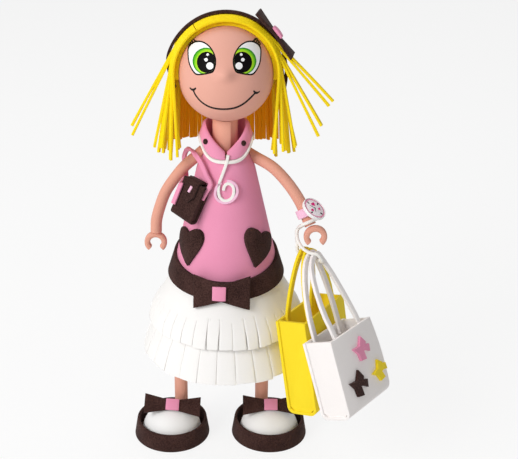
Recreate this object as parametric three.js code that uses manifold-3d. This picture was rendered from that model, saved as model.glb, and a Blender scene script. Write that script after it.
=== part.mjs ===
// A craft foam doll with a fringed skirt, a shoulder bag, a watch and two shopping bags.
// Millimetres, +Z up. The doll faces -Y and its own right hand is on -X.
// Right and left in the names are the doll's own.
import * as THREE from 'three';
import { mergeVertices } from 'three/addons/utils/BufferGeometryUtils.js';
import Module from 'manifold-3d';

const wasm = await Module();
wasm.setup();

const degree = Math.PI / 180;
const turn = 2 * Math.PI;

// Foam and clearances
const foam = 2;
const seat = 0.3;
const overrun = 1;

// Shoes
const soleRadius = 28.5;
const rimRadius = 26.3;
const shoeHeight = 13.3;
const toeHalfWidth = 22.6;
const toeHalfLength = 20.5;
const toeHeight = 24;
const toeForward = 3;
const toeBack = 6.5;
const shoeBowWidth = 42;
const shoeBowHeight = 15;
const shoeKnotWidth = 10;
const shoeKnotHeight = 8.5;
const shoeBowForward = 8.5;
const shoeBowLift = 0.7;
const shoeBowPitch = -45 * degree;
const rightShoeAside = 41.2;
const leftShoeAside = 32.9;

// Legs, with a dowel in each
const legRadius = 4.9;
const legDowelRadius = 2;
const legDowelReach = 11;
const rightLegAside = 34;
const leftLegAside = 27;
const legBack = 4;

// Body cone and its coverings
const hipHeight = 118;
const shoulderHeight = 103;
const shoulderCap = 9.5;
const coneHeight = shoulderHeight + shoulderCap;
const coneBottomRadius = 40.7;
const coneShoulderRadius = 17.3;
const coneTopRadius = 12.7;
const blouseHem = 26;
const blouseRise = 0.5;

// Neck, with the dowel that carries the head
const neckRadius = 9.7;
const neckLength = 23.8;
const neckOverlap = 26 * degree;
const neckSeamTurn = 24 * degree;
const neckDowelRadius = 1.9;
const neckDowelDown = 30;
const neckDowelUp = 22;

// Collar and what lies on it
const collarRise = 20;
const collarFlapRise = 12.4;
const collarStandRadius = 13.2;
const collarFlapRadius = 18;
const collarFront = 3.2;
const collarFlapDrop = 1;
const buttonRadius = 1.9;
const buttonDepth = 1.6;
const buttonLift = 0.8;
const buttonTurn = 55 * degree;
const necklaceWidth = 2.4;
const necklaceDepth = 2;
const necklaceDrop = 1.6;

// Pendant, rolled from a two-layer strip
const pendantRadius = 5;
const pendantLength = 26;
const pendantStrip = 2.2;
const pendantDepth = 3;
const pendantPitch = -12.5 * degree;

// Hearts
const heartWidth = 27;
const heartHeight = 27;
const rightHeartTurn = -52 * degree;
const leftHeartTurn = 44 * degree;
const rightHeartTip = -4 * degree;
const leftHeartTip = 17 * degree;
const heartRise = 49.5;

// Belt
const beltTopRise = 37;
const beltBottomRise = 21.2;
const beltTopTilt = 0.17;
const beltBottomTilt = 0.085;
const beltFlare = 1;
const beltBowWidth = 39;
const beltBowHeight = 24;
const beltBowWaist = 12;
const beltBowBend = 62;
const beltKnotWidth = 10.7;
const beltKnotHeight = 11;

// Skirt
const skirtHemFlare = 14.8;
const skirtHemDrop = 14;
const skirtTopRise = 24.4;
const upperStrips = 36;
const upperSlit = 19;
const lowerHemFlare = 19.3;
const lowerHemDrop = 39;
const lowerTopRise = 2.6;
const lowerStrips = 27;
const lowerSlit = 26;
const slitWidth = 0.7;
const openSlitWidth = 2.4;

// Head
const ballRadius = 30;
const skinThickness = 1.7;
const faceTilt = 12 * degree;
const maskTilt = 34 * degree;
const faceReach = 108 * degree;
const noseRadius = 4;
const noseTurn = -1 * degree;
const noseLift = 13 * degree;
const eyeHeight = 23;
const eyeThickness = 0.5;
const eyeTurn = 36.5 * degree;
const eyeLift = 30.5 * degree;

// Hair
const capThickness = 3.5;
const hairStrip = 2.7;
const hairPitch = 3.05;
const hairFall = 62;
const chordRoom = 0.6;
const hairSteps = 6;
const sideStrips = 9;
const capLow = 2;
const backStrips = 18;
const fringePlane = -0.52;
const hairHang = 0.2;
const browInset = 3;
const bandThickness = 2;
const bandWidth = 7;
const bandEnd = -16 * degree;
const headBowWidth = 37;
const headBowHeight = 22;
const headBowTurn = 47 * degree;
const headBowForward = 6;
const headKnotWidth = 9;
const headKnotHeight = 8;

// Arms and hands
const armRadius = 4;
const armReach = 60;
const shoulderAside = 20.5;
const shoulderDrop = 4.6;
const shoulderReach = 7;
const armSwing = 36 * degree;
const handRadius = 6;
const handTube = 2;
const handDepth = 2.6;
const handOpening = 84 * degree;

// Watch
const watchStrapWidth = 6;
const watchStrapThickness = 1.7;
const watchRadius = 8.8;
const watchThickness = 2.6;
const watchShare = 0.865;
const watchLift = 0.95;

// Carry loop on the wrist
const loopRadius = 1.4;
const loopShare = 0.965;
const loopDrop = 25;
const loopSpan = 9.6;

// Shopping bags
const bagWall = 2;
const bagCorner = 5;
const gussetRecess = 1.2;
const handleWidth = 3.2;
const handleSpacing = 3.3;
const handleBend = 2.4;
const yellowWidth = 57;
const yellowDepth = 22.9;
const yellowHeight = 69;
const whiteWidth = 51;
const whiteDepth = 23;
const whiteHeight = 58.8;
const yellowAside = 2.6;
const yellowForward = 4.4;
const yellowDrop = 38.2;
const whiteAside = 6.7;
const whiteForward = 22.4;
const whiteDrop = 50.6;
const decalSize = 15;
const decalThickness = 1.6;

// Shoulder bag
const purseWidth = 18.5;
const purseDepth = 8;
const purseHeight = 28;
const purseWall = 1.7;
const purseCorner = 2.5;
const flapWidth = 11.5;
const flapDrop = 15;
const flapThickness = 1.6;
const purseAside = 24.2;
const purseForward = 20.6;
const purseDrop = 15.6;
const purseStrapWidth = 3;
const purseStrapThickness = 1.8;

// Places worked out from the sizes
const up = new THREE.Vector3(0, 0, 1);
const coneTop = hipHeight + coneHeight;
const shoulderTop = hipHeight + shoulderHeight;
const neckBottom = coneTop + seat;
const neckTop = neckBottom + neckLength;
const headRadius = ballRadius + seat + skinThickness;
const skirtHemRadius = coneBottomRadius + skirtHemFlare;
const lowerHemRadius = coneBottomRadius + lowerHemFlare;
const skirtHemHeight = hipHeight - skirtHemDrop;
const lowerHemHeight = hipHeight - lowerHemDrop;
const headUnderNeck = Math.sqrt(headRadius ** 2 - neckRadius ** 2);
const headHeight = neckTop + seat + headUnderNeck;
const capRadius = headRadius + seat + capThickness;
const curtainRadius = capRadius + seat + foam / 2;
const backRadius = curtainRadius + seat + foam + chordRoom;
const bandInner = curtainRadius + foam / 2 + seat + chordRoom;
const bandOuter = bandInner + bandThickness;

const skin = '#e8a58c';
const pink = '#f0a3c4';
const brown = '#4a332f';
const white = '#f4f2f2';
const yellow = '#f7df2e';
const wood = '#c9a36a';
const beads = '#f3f3f0';

const doll = new THREE.Group();

// The solid of a closed geometry.
function solidOf(geometry) {
  const bare = geometry.clone();
  bare.deleteAttribute('normal');
  bare.deleteAttribute('uv');
  const merged = mergeVertices(bare);
  const corners = merged.index.array;
  const kept = [];
  for (let k = 0; k < corners.length; k += 3) {
    const [a, b, c] = [corners[k], corners[k + 1], corners[k + 2]];
    if (a !== b && b !== c && c !== a) kept.push(a, b, c);
  }
  const vertProperties = new Float32Array(merged.attributes.position.array);
  const triVerts = new Uint32Array(kept);
  return new wasm.Manifold(new wasm.Mesh({ numProp: 3, vertProperties, triVerts }));
}

// The geometry of a solid.
function geometryOf(body) {
  const mesh = body.getMesh();
  const geometry = new THREE.BufferGeometry();
  geometry.setAttribute('position', new THREE.BufferAttribute(mesh.vertProperties, 3));
  geometry.setIndex(new THREE.BufferAttribute(mesh.triVerts, 1));
  geometry.computeVertexNormals();
  return geometry;
}

function join(bodies) {
  return bodies.reduce((whole, next) => whole.add(next));
}

// A body without the slivers that a cut may leave beside it.
function largest(body) {
  return body.decompose().reduce((big, next) => (next.volume() > big.volume() ? next : big));
}

// A named piece of the doll, in its own colour.
function piece(name, body, color, home = doll, roughness = 0.85) {
  const geometry = body.isBufferGeometry ? body : geometryOf(body);
  const material = new THREE.MeshStandardMaterial({ color, roughness, metalness: 0 });
  const mesh = new THREE.Mesh(geometry, material);
  mesh.name = name;
  home.add(mesh);
  return mesh;
}

// A closed body through rows of points, capped at its ends unless it runs round to its start.
function loft(loops, closed = false) {
  const count = loops[0].length;
  const index = [];
  const rows = closed ? loops.length : loops.length - 1;
  for (let row = 0; row < rows; row += 1) {
    const here = row * count;
    const next = ((row + 1) % loops.length) * count;
    for (let k = 0; k < count; k += 1) {
      const beside = (k + 1) % count;
      index.push(here + k, next + k, next + beside);
      index.push(here + k, next + beside, here + beside);
    }
  }
  if (!closed) {
    const faces = capFaces(loops[0]);
    const last = (loops.length - 1) * count;
    for (const [a, b, c] of faces) index.push(a, b, c);
    for (const [a, b, c] of faces) index.push(last + a, last + c, last + b);
  }
  const points = loops.flat();
  if (enclosed(points, index) < 0) {
    for (let k = 0; k < index.length; k += 3) [index[k], index[k + 1]] = [index[k + 1], index[k]];
  }
  const geometry = new THREE.BufferGeometry().setFromPoints(points);
  geometry.setIndex(index);
  geometry.computeVertexNormals();
  return geometry;
}

// The triangles that close a flat loop of points.
function capFaces(loop) {
  const across = new THREE.Vector3();
  loop.forEach((point, k) => {
    across.add(new THREE.Vector3().crossVectors(point, loop[(k + 1) % loop.length]));
  });
  across.normalize();
  const along = new THREE.Vector3().subVectors(loop[1], loop[0]).normalize();
  const beside = new THREE.Vector3().crossVectors(across, along);
  const flat = loop.map((point) => new THREE.Vector2(point.dot(along), point.dot(beside)));
  return THREE.ShapeUtils.triangulateShape(flat, []);
}

// The volume inside the faces, below zero where they point inwards.
function enclosed(points, index) {
  let sum = 0;
  const cross = new THREE.Vector3();
  for (let k = 0; k < index.length; k += 3) {
    cross.crossVectors(points[index[k + 1]], points[index[k + 2]]);
    sum += points[index[k]].dot(cross);
  }
  return sum;
}

// A point round the doll's axis, with turn 0 at the front and a quarter turn to its left.
function around(angle, radius, height) {
  return new THREE.Vector3(radius * Math.sin(angle), -radius * Math.cos(angle), height);
}

// A ring, or an arc, whose section may change with the angle.
function band(section, steps, from = 0, to = turn) {
  const closed = to - from === turn;
  const count = closed ? steps : steps + 1;
  const loops = Array.from({ length: count }, (_, k) => {
    const angle = from + ((to - from) * k) / steps;
    return section(angle).map(([radius, height]) => around(angle, radius, height));
  });
  return loft(loops, closed);
}

// A body turned round the Z axis from a closed profile of [radius, height].
function turned(profile, sides) {
  const points = profile.map(([radius, height]) => new THREE.Vector2(radius, height));
  if (profile[0][0] > 0 || profile[profile.length - 1][0] > 0) points.push(points[0].clone());
  return new THREE.LatheGeometry(points, sides).rotateX(turn / 4);
}

function rod(radius, from, to, x = 0, y = 0, sides = 16) {
  const geometry = new THREE.CylinderGeometry(radius, radius, to - from, sides);
  return geometry.rotateX(turn / 4).translate(x, y, (from + to) / 2);
}

// A strip that follows a curve, its width lying along a given direction.
function strip(points, width, thickness, aside) {
  const loops = points.map((point, k) => {
    const before = points[Math.max(k - 1, 0)];
    const after = points[Math.min(k + 1, points.length - 1)];
    const along = new THREE.Vector3().subVectors(after, before).normalize();
    const wide = aside.clone().addScaledVector(along, -aside.dot(along)).normalize();
    const thick = new THREE.Vector3().crossVectors(along, wide);
    return [[-1, -1], [1, -1], [1, 1], [-1, 1]].map(([a, b]) => point.clone()
      .addScaledVector(wide, (a * width) / 2)
      .addScaledVector(thick, (b * thickness) / 2));
  });
  return loft(loops);
}

// The outline of a strip that follows a flat curve.
function ribbonOutline(curve, width, steps) {
  const sides = [[], []];
  for (let k = 0; k <= steps; k += 1) {
    const at = curve.getPoint(k / steps);
    const along = curve.getTangent(k / steps);
    const off = new THREE.Vector2(-along.y, along.x).multiplyScalar(width / 2);
    sides[0].push(at.clone().add(off));
    sides[1].unshift(at.clone().sub(off));
  }
  return new THREE.Shape([...sides[0], ...sides[1]]);
}

// A flat outline given depth, standing in the XZ plane with its front at -Y.
function plate(outline, depth, curveSegments = 8) {
  const settings = { depth, bevelEnabled: false, curveSegments };
  return new THREE.ExtrudeGeometry(outline, settings).rotateX(turn / 4);
}

// A tube along a curve.
function tube(points, radius, steps, sides) {
  const section = new THREE.Shape().absarc(0, 0, radius, 0, turn);
  const extrudePath = new THREE.CatmullRomCurve3(points, false, 'centripetal');
  const settings = { steps, extrudePath, bevelEnabled: false, curveSegments: sides };
  return new THREE.ExtrudeGeometry(section, settings);
}

// A flat bow, pinched at its middle and bent back over a given radius.
function bow(width, height, waist, thickness, bend = Infinity) {
  const steps = 6;
  const sections = [];
  for (let k = -steps; k <= steps; k += 1) {
    const x = (width / 2) * (k / steps);
    const half = (waist + (height - waist) * Math.abs(k / steps)) / 2;
    const back = bend === Infinity ? 0 : bend - Math.sqrt(bend ** 2 - x ** 2);
    sections.push([[-half, 0], [half, 0], [half, thickness], [-half, thickness]]
      .map(([z, y]) => new THREE.Vector3(x, back - y, z)));
  }
  return loft(sections);
}

// The small strap wrapped over the middle of a bow, slightly crowned.
function knot(width, height, thickness) {
  const crown = thickness / 3;
  const outline = new THREE.Shape();
  outline.moveTo(-width / 2, 0);
  outline.lineTo(width / 2, 0);
  outline.lineTo(width / 2, thickness - crown);
  outline.quadraticCurveTo(0, thickness + crown, -width / 2, thickness - crown);
  const settings = { depth: height, bevelEnabled: false, curveSegments: 6 };
  return new THREE.ExtrudeGeometry(outline, settings).rotateX(turn / 2)
    .translate(0, 0, height / 2);
}

// The surface radius of the bare cone at a height above the floor.
function coneRadius(height) {
  const share = (height - hipHeight) / shoulderHeight;
  return coneBottomRadius + (coneShoulderRadius - coneBottomRadius) * share;
}

function smooth(share) {
  const held = Math.min(Math.max(share, 0), 1);
  return held * held * (3 - 2 * held);
}

// How far an angle is from the front, from 0 there to 1 at the back.
function backShare(angle) {
  return (1 - Math.cos(angle)) / 2;
}

function coveringRadius(height) {
  return coneRadius(height) + seat + foam;
}

function makeShoe(side, shoeX, legX, bowRoll) {
  const home = new THREE.Group();
  home.position.set(shoeX, 0, 0);
  doll.add(home);
  const lean = (soleRadius - rimRadius) / shoeHeight;
  const tray = turned([
    [0, 0],
    [soleRadius, 0],
    [rimRadius, shoeHeight],
    [rimRadius - foam, shoeHeight],
    [soleRadius - foam - lean * foam, foam],
    [0, foam],
  ], 36);
  piece(`${side}_shoe_tray`, tray, brown, home);
  const bottom = foam + seat;
  const rounds = 6;
  const arc = Array.from({ length: rounds + 1 }, (_, k) => {
    const angle = (k / rounds) * (turn / 4);
    return [Math.cos(angle), Math.sin(angle)];
  });
  const dome = turned([[0, 0], ...arc], 28);
  dome.scale(toeHalfWidth, toeHalfLength, toeHeight).translate(0, -toeForward, bottom);
  const behind = new THREE.BoxGeometry(4 * toeHalfWidth, 2 * toeHalfLength, 4 * toeHeight);
  behind.translate(0, toeBack - toeForward + toeHalfLength, 0);
  const hole = rod(legRadius + seat, 0, 2 * toeHeight, legX - shoeX, legBack);
  piece(`${side}_shoe_toe`, solidOf(dome).subtract(solidOf(behind)).subtract(solidOf(hole)),
    white, home);
  const tied = new THREE.Group();
  tied.position.set(0, -shoeBowForward, bottom + toeHeight + shoeBowLift);
  tied.rotation.set(shoeBowPitch, bowRoll, 0, 'YXZ');
  home.add(tied);
  piece(`${side}_shoe_bow`, bow(shoeBowWidth, shoeBowHeight, shoeKnotHeight - foam, foam),
    brown, tied);
  const knotted = knot(shoeKnotWidth, shoeKnotHeight, foam).translate(0, -foam - seat, 0);
  piece(`${side}_shoe_knot`, knotted, pink, tied);
}

function makeLeg(side, x) {
  const bottom = foam + seat;
  const top = hipHeight - seat;
  const sleeve = solidOf(rod(legRadius, bottom, top, x, legBack, 24));
  const bore = solidOf(rod(legDowelRadius + seat, 0, hipHeight, x, legBack));
  piece(`${side}_leg`, sleeve.subtract(bore), skin);
  const dowel = rod(legDowelRadius, bottom, hipHeight + legDowelReach, x, legBack);
  piece(`${side}_leg_dowel`, dowel, wood);
}

function makeBody() {
  const core = solidOf(turned([
    [0, hipHeight],
    [coneBottomRadius, hipHeight],
    [coneShoulderRadius, shoulderTop],
    [coneTopRadius, coneTop],
    [0, coneTop],
  ], 40));
  const reach = legDowelReach + overrun;
  const legBore = (x) => solidOf(rod(legDowelRadius + seat, hipHeight - overrun,
    hipHeight + reach, x, legBack));
  const neckBore = solidOf(rod(neckDowelRadius + seat, coneTop - neckDowelDown - overrun,
    coneTop + overrun));
  piece('body_core', core.subtract(legBore(-rightLegAside)).subtract(legBore(leftLegAside))
    .subtract(neckBore), white);
  const hem = hipHeight + blouseHem;
  const clothed = (radius) => radius + seat + foam;
  piece('blouse', turned([
    [clothed(coneRadius(hem)), hem],
    [clothed(coneShoulderRadius), shoulderTop],
    [clothed(coneTopRadius), coneTop + blouseRise],
    [coneTopRadius + seat, coneTop + blouseRise],
    [coneShoulderRadius + seat, shoulderTop],
    [coneRadius(hem) + seat, hem],
  ], 40), pink);
}

function makeNeck() {
  const growth = (foam + seat) / turn;
  const inner = neckRadius - 2 * foam - seat;
  const start = neckSeamTurn;
  const section = (angle) => {
    const radius = inner + growth * (angle - start);
    const under = (out) => headHeight - Math.sqrt(headRadius ** 2 - out ** 2) - seat;
    return [[radius, neckBottom], [radius + foam, neckBottom], [radius + foam, under(radius + foam)],
      [radius, under(radius)]];
  };
  piece('neck_wrap', band(section, 32, start, start + turn + neckOverlap), skin);
  piece('neck_dowel', rod(neckDowelRadius, coneTop - neckDowelDown, neckTop + neckDowelUp),
    wood);
}

// Heights and radii of the collar at an angle from the front.
function collarAt(angle) {
  const rise = smooth(backShare(angle) * 2.2);
  const bottom = coneTop + blouseRise + seat;
  const top = bottom + collarFront + (collarRise - collarFront) * rise;
  const flap = bottom - collarFlapDrop + collarFlapRise * rise;
  return { bottom, top, flap };
}

function makeCollar() {
  const stand = collarStandRadius;
  const gape = 3 * degree;
  const section = (angle) => {
    const { bottom, top, flap } = collarAt(angle);
    const out = collarFlapRadius;
    return [
      [stand, bottom],
      [stand + foam / 2, bottom],
      [stand + foam / 2, top - foam],
      [out - foam, flap],
      [out, flap],
      [stand + foam, top],
      [stand, top],
    ];
  };
  piece('collar', band(section, 32, gape, turn - gape), pink);
  for (const [side, sign] of [['right', -1], ['left', 1]]) {
    const angle = sign * buttonTurn;
    const { top, flap } = collarAt(angle);
    const slope = Math.atan2(collarFlapRadius - stand - foam, top - flap);
    const button = new THREE.CylinderGeometry(buttonRadius, buttonRadius, buttonDepth, 16);
    button.translate(0, buttonDepth / 2 + buttonLift, 0).rotateX(turn / 2 - slope);
    const low = 0.42;
    const radius = collarFlapRadius + (stand + foam - collarFlapRadius) * low;
    button.translate(0, -radius, flap + (top - flap) * low).rotateZ(angle);
    piece(`${side}_collar_button`, button, brown);
  }
  const ring = (angle) => {
    const { flap } = collarAt(angle);
    const low = flap - necklaceDrop - necklaceWidth / 2;
    const inner = collarFlapRadius - foam / 2;
    return [[inner, low], [inner + necklaceDepth, low], [inner + necklaceDepth, low + necklaceWidth],
      [inner, low + necklaceWidth]];
  };
  piece('necklace', band(ring, 32), beads);
}

function makePendant() {
  const home = new THREE.Group();
  const { flap } = collarAt(0);
  const front = collarFlapRadius - foam / 2 + necklaceDepth + seat;
  home.position.set(0, -front, flap);
  home.rotation.x = pendantPitch;
  doll.add(home);
  const pathShares = [[0.28, 5], [0.06, 3.7], [-0.76, 1.62], [-1, 0.4], [-0.8, -0.64], [0, -1.16],
    [0.84, -0.6], [1.04, 0.3], [0.72, 1], [0.1, 1.1], [-0.2, 0.62], [-0.26, 0.1]];
  const drop = pendantLength * 0.82;
  const inner = pathShares.map(([x, z]) => new THREE.Vector2(x * pendantRadius,
    z * pendantRadius - drop));
  const whiteLine = new THREE.SplineCurve(inner);
  const strand = plate(ribbonOutline(whiteLine, pendantStrip, 30), pendantDepth);
  const outer = pendantRadius + pendantStrip - overrun / 10;
  const ring = new THREE.Shape().absellipse(0, 0, outer + pendantStrip, outer + pendantStrip,
    0, turn);
  ring.holes.push(new THREE.Path().absellipse(0, 0, outer, outer, 0, turn));
  const backing = plate(ring, pendantDepth, 10).translate(0, 0, -drop);
  piece('pendant', solidOf(strand).add(solidOf(backing)), beads, home);
}

// A heart with its tip down, centred on the origin.
function heartOutline(width, height) {
  const half = width / 2;
  const low = -height / 2;
  const high = height / 2;
  const dip = high - 0.16 * height;
  const outline = new THREE.Shape();
  outline.moveTo(0, low);
  outline.bezierCurveTo(0.5 * half, low + 0.28 * height, half, 0, half, 0.22 * height);
  outline.bezierCurveTo(half, high, 0.4 * half, high, 0, dip);
  outline.bezierCurveTo(-0.4 * half, high, -half, high, -half, 0.22 * height);
  outline.bezierCurveTo(-half, 0, -0.5 * half, low + 0.28 * height, 0, low);
  return outline;
}

function makeHearts() {
  const low = hipHeight + heartRise - heartHeight;
  const high = hipHeight + heartRise + heartHeight;
  const inner = (height) => coveringRadius(height) + seat;
  const shell = solidOf(turned([
    [inner(low) + foam, low],
    [inner(high) + foam, high],
    [inner(high), high],
    [inner(low), low],
  ], 40));
  const hearts = [['right', rightHeartTurn, rightHeartTip], ['left', leftHeartTurn, leftHeartTip]];
  for (const [side, angle, tip] of hearts) {
    const prism = plate(heartOutline(heartWidth, heartHeight), 2 * coneBottomRadius, 7);
    prism.rotateY(tip).translate(0, 0, hipHeight + heartRise).rotateZ(angle);
    piece(`${side}_heart_pocket`, shell.intersect(solidOf(prism)), brown);
  }
}

function makeBelt() {
  const top = hipHeight + beltTopRise;
  const bottom = hipHeight + beltBottomRise;
  const section = (angle) => {
    const back = -Math.cos(angle) * coneBottomRadius;
    const high = top + beltTopTilt * back;
    const low = bottom + beltBottomTilt * back;
    const inside = (height) => coveringRadius(height) + seat;
    const flared = inside(low) + beltFlare;
    return [[flared, low], [flared + foam, low], [inside(high) + foam, high],
      [inside(high), high]];
  };
  piece('belt', band(section, 40), brown);
  const middle = (top + bottom) / 2 - coneBottomRadius * (beltTopTilt + beltBottomTilt) / 2;
  const slope = Math.atan2(coneBottomRadius - coneShoulderRadius, shoulderHeight);
  const tied = new THREE.Group();
  const high = middle + beltBowHeight / 2;
  tied.position.set(0, -coveringRadius(high) - foam - beltBowHeight * Math.tan(slope) / 2
    - 2 * seat - beltFlare, middle);
  tied.rotation.x = -slope;
  doll.add(tied);
  piece('belt_bow', bow(beltBowWidth, beltBowHeight, beltBowWaist, foam, beltBowBend), brown, tied);
  const knotted = knot(beltKnotWidth, beltKnotHeight, foam).translate(0, -foam - seat, 0);
  piece('belt_bow_knot', knotted, pink, tied);
}

// One tier of the skirt: a flared sheet, slit into strips from its hem.
function makeTier(name, profileShares, topRise, hemRadius, hemHeight, strips, slit, openSlits) {
  const top = hipHeight + topRise;
  const topRadius = coneRadius(top) + seat;
  const at = ([out, down]) => [topRadius + (hemRadius - foam - topRadius) * out,
    top + (hemHeight - top) * down];
  const inside = profileShares.map(at);
  const outside = inside.map(([radius, height]) => [radius + foam, height]).reverse();
  let sheet = solidOf(turned([...outside, ...inside], strips));
  for (let k = 0; k < strips; k += 1) {
    const width = openSlits.includes(k) ? openSlitWidth : slitWidth;
    const from = new THREE.Shape();
    from.moveTo(-width / 2, -slit / 4);
    from.lineTo(width / 2, -slit / 4);
    from.lineTo(width / 6, slit);
    from.lineTo(-width / 6, slit);
    const cut = plate(from, 2 * hemRadius).translate(0, -hemRadius / 4, hemHeight);
    sheet = sheet.subtract(solidOf(cut.rotateZ((turn * k) / strips)));
  }
  piece(name, sheet, white);
}

function makeSkirt() {
  const upperShares = [[0, 0], [0.09, 0.15], [0.45, 0.47], [0.88, 0.8], [1, 1]];
  makeTier('skirt_upper_tier', upperShares, skirtTopRise, skirtHemRadius, skirtHemHeight,
    upperStrips, upperSlit, [1, 34]);
  const lowerShares = [[0, 0], [0.36, 0.32], [0.76, 0.7], [1, 1]];
  makeTier('skirt_lower_tier', lowerShares, lowerTopRise, lowerHemRadius, lowerHemHeight,
    lowerStrips, lowerSlit, []);
}

// A shell between two balls, from the front pole to a given angle behind it.
function ballShell(inner, outer, reach, sides, rounds) {
  const arc = (radius) => Array.from({ length: rounds + 1 }, (_, k) => {
    const angle = (reach * k) / rounds;
    return new THREE.Vector2(radius * Math.sin(angle), -radius * Math.cos(angle));
  });
  return new THREE.LatheGeometry([...arc(outer), ...arc(inner).reverse()], sides);
}

function facing(turnAngle, liftAngle) {
  return new THREE.Vector3(Math.sin(turnAngle) * Math.cos(liftAngle),
    -Math.cos(turnAngle) * Math.cos(liftAngle), Math.sin(liftAngle));
}

function makeHead(home) {
  const core = new THREE.SphereGeometry(ballRadius, 24, 12).rotateX(turn / 4);
  const socket = rod(neckDowelRadius + seat, -2 * ballRadius,
    neckTop + neckDowelUp + overrun - headHeight);
  piece('head_core', solidOf(core).subtract(solidOf(socket)), white, home);
  const mask = ballShell(ballRadius + seat, headRadius, faceReach, 36, 11);
  mask.rotateX(maskTilt);
  const nose = new THREE.SphereGeometry(noseRadius, 14, 8);
  const nosePlace = facing(noseTurn, noseLift).multiplyScalar(headRadius - noseRadius / 4);
  nose.scale(1.15, 1, 0.85).translate(nosePlace.x, nosePlace.y, nosePlace.z);
  const insideFace = new THREE.SphereGeometry(ballRadius + foam / 2, 24, 16).rotateX(turn / 4);
  const bump = solidOf(nose).subtract(solidOf(insideFace));
  piece('face_skin', solidOf(mask).subtract(solidOf(socket)).add(bump), skin, home);
  makeEyes(home);
}

function makeEyes(home) {
  const sheet = ballShell(headRadius + seat / 2, headRadius + seat / 2 + eyeThickness,
    faceReach, 36, 11).rotateX(maskTilt);
  const outlineShares = [[-0.04, 0.5], [-0.3, 0.4], [-0.47, 0.12], [-0.45, -0.16], [-0.28, -0.42],
    [-0.04, -0.5], [0.22, -0.47], [0.4, -0.38], [0.47, -0.1], [0.38, 0.18], [0.2, 0.4]];
  for (const [side, sign] of [['right', -1], ['left', 1]]) {
    const points = outlineShares.map(([x, z]) => new THREE.Vector2(-sign * x * eyeHeight,
      z * eyeHeight));
    const curve = new THREE.SplineCurve([...points, points[0]]);
    const outline = new THREE.Shape(curve.getPoints(18).slice(0, -1));
    const prism = plate(outline, 2 * headRadius);
    prism.rotateX(-eyeLift).rotateZ(sign * eyeTurn);
    piece(`${side}_eye`, solidOf(sheet).intersect(solidOf(prism)), white, home, 0.5);
  }
}

// The path of a strip of hair over the head and down to its end, with the way it faces.
function hairStrand(strand, radius, home) {
  const { place, side, start, flare, length, lean } = strand;
  const plane = radius * Math.sin(place / radius);
  const round = Math.sqrt(radius ** 2 - plane ** 2);
  const leave = side * (turn / 4 - flare);
  const sweep = (leave - start) / hairSteps;
  const reach = round / Math.cos(sweep / 2);
  const rows = Array.from({ length: hairSteps + 1 }, (_, k) => {
    const angle = start + sweep * k;
    const point = home(reach * Math.sin(angle), plane, reach * Math.cos(angle));
    return { point, out: point.clone().normalize() };
  });
  const last = rows[hairSteps];
  const fall = home(side * Math.sin(flare), lean, -Math.cos(flare));
  [0.35, 1].forEach((share) => {
    rows.push({ point: last.point.clone().addScaledVector(fall, length * share), out: last.out });
  });
  return rows;
}

// A strip of foam that lies flat on a path, facing out from it and wider at its root.
function laidStrip(rows, width, thickness, rootWidth) {
  return loft(rows.map(({ point, out }, k) => {
    const before = rows[Math.max(k - 1, 0)].point;
    const after = rows[Math.min(k + 1, rows.length - 1)].point;
    const along = new THREE.Vector3().subVectors(after, before).normalize();
    const thick = out.clone().addScaledVector(along, -out.dot(along)).normalize();
    const wide = new THREE.Vector3().crossVectors(along, thick);
    const across = k === 0 ? rootWidth : width;
    return [[-1, -1], [1, -1], [1, 1], [-1, 1]].map(([a, b]) => point.clone()
      .addScaledVector(wide, (a * across) / 2)
      .addScaledVector(thick, (b * thickness) / 2));
  }));
}

const sideways = (x, y, z) => new THREE.Vector3(x, y, z);
const backways = (x, y, z) => new THREE.Vector3(y, x, z);

// A curtain of strips joined at their roots, one for each row of [place, flare, share, lean].
function curtain(name, rows, side, radius, start, home, group) {
  const rootWidth = 2 * hairPitch - hairStrip;
  const strands = rows.map(([place, flare, share, lean]) => {
    const strand = { place, side, start, flare: flare * degree, length: hairFall * share, lean };
    return solidOf(laidStrip(hairStrand(strand, radius, home), hairStrip, foam, rootWidth));
  });
  piece(name, join(strands), yellow, group);
}

// Rows for a curtain, with each of its values spread over the strips.
function rowsOf(first, count, flares, shares, leans) {
  return Array.from({ length: count }, (_, k) => {
    const pick = (list) => {
      const place = (k * (list.length - 1)) / Math.max(count - 1, 1);
      const low = Math.floor(place);
      const high = Math.min(low + 1, list.length - 1);
      return list[low] + (list[high] - list[low]) * (place - low);
    };
    return [first + k * hairPitch, pick(flares), pick(shares), pick(leans)];
  });
}

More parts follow.
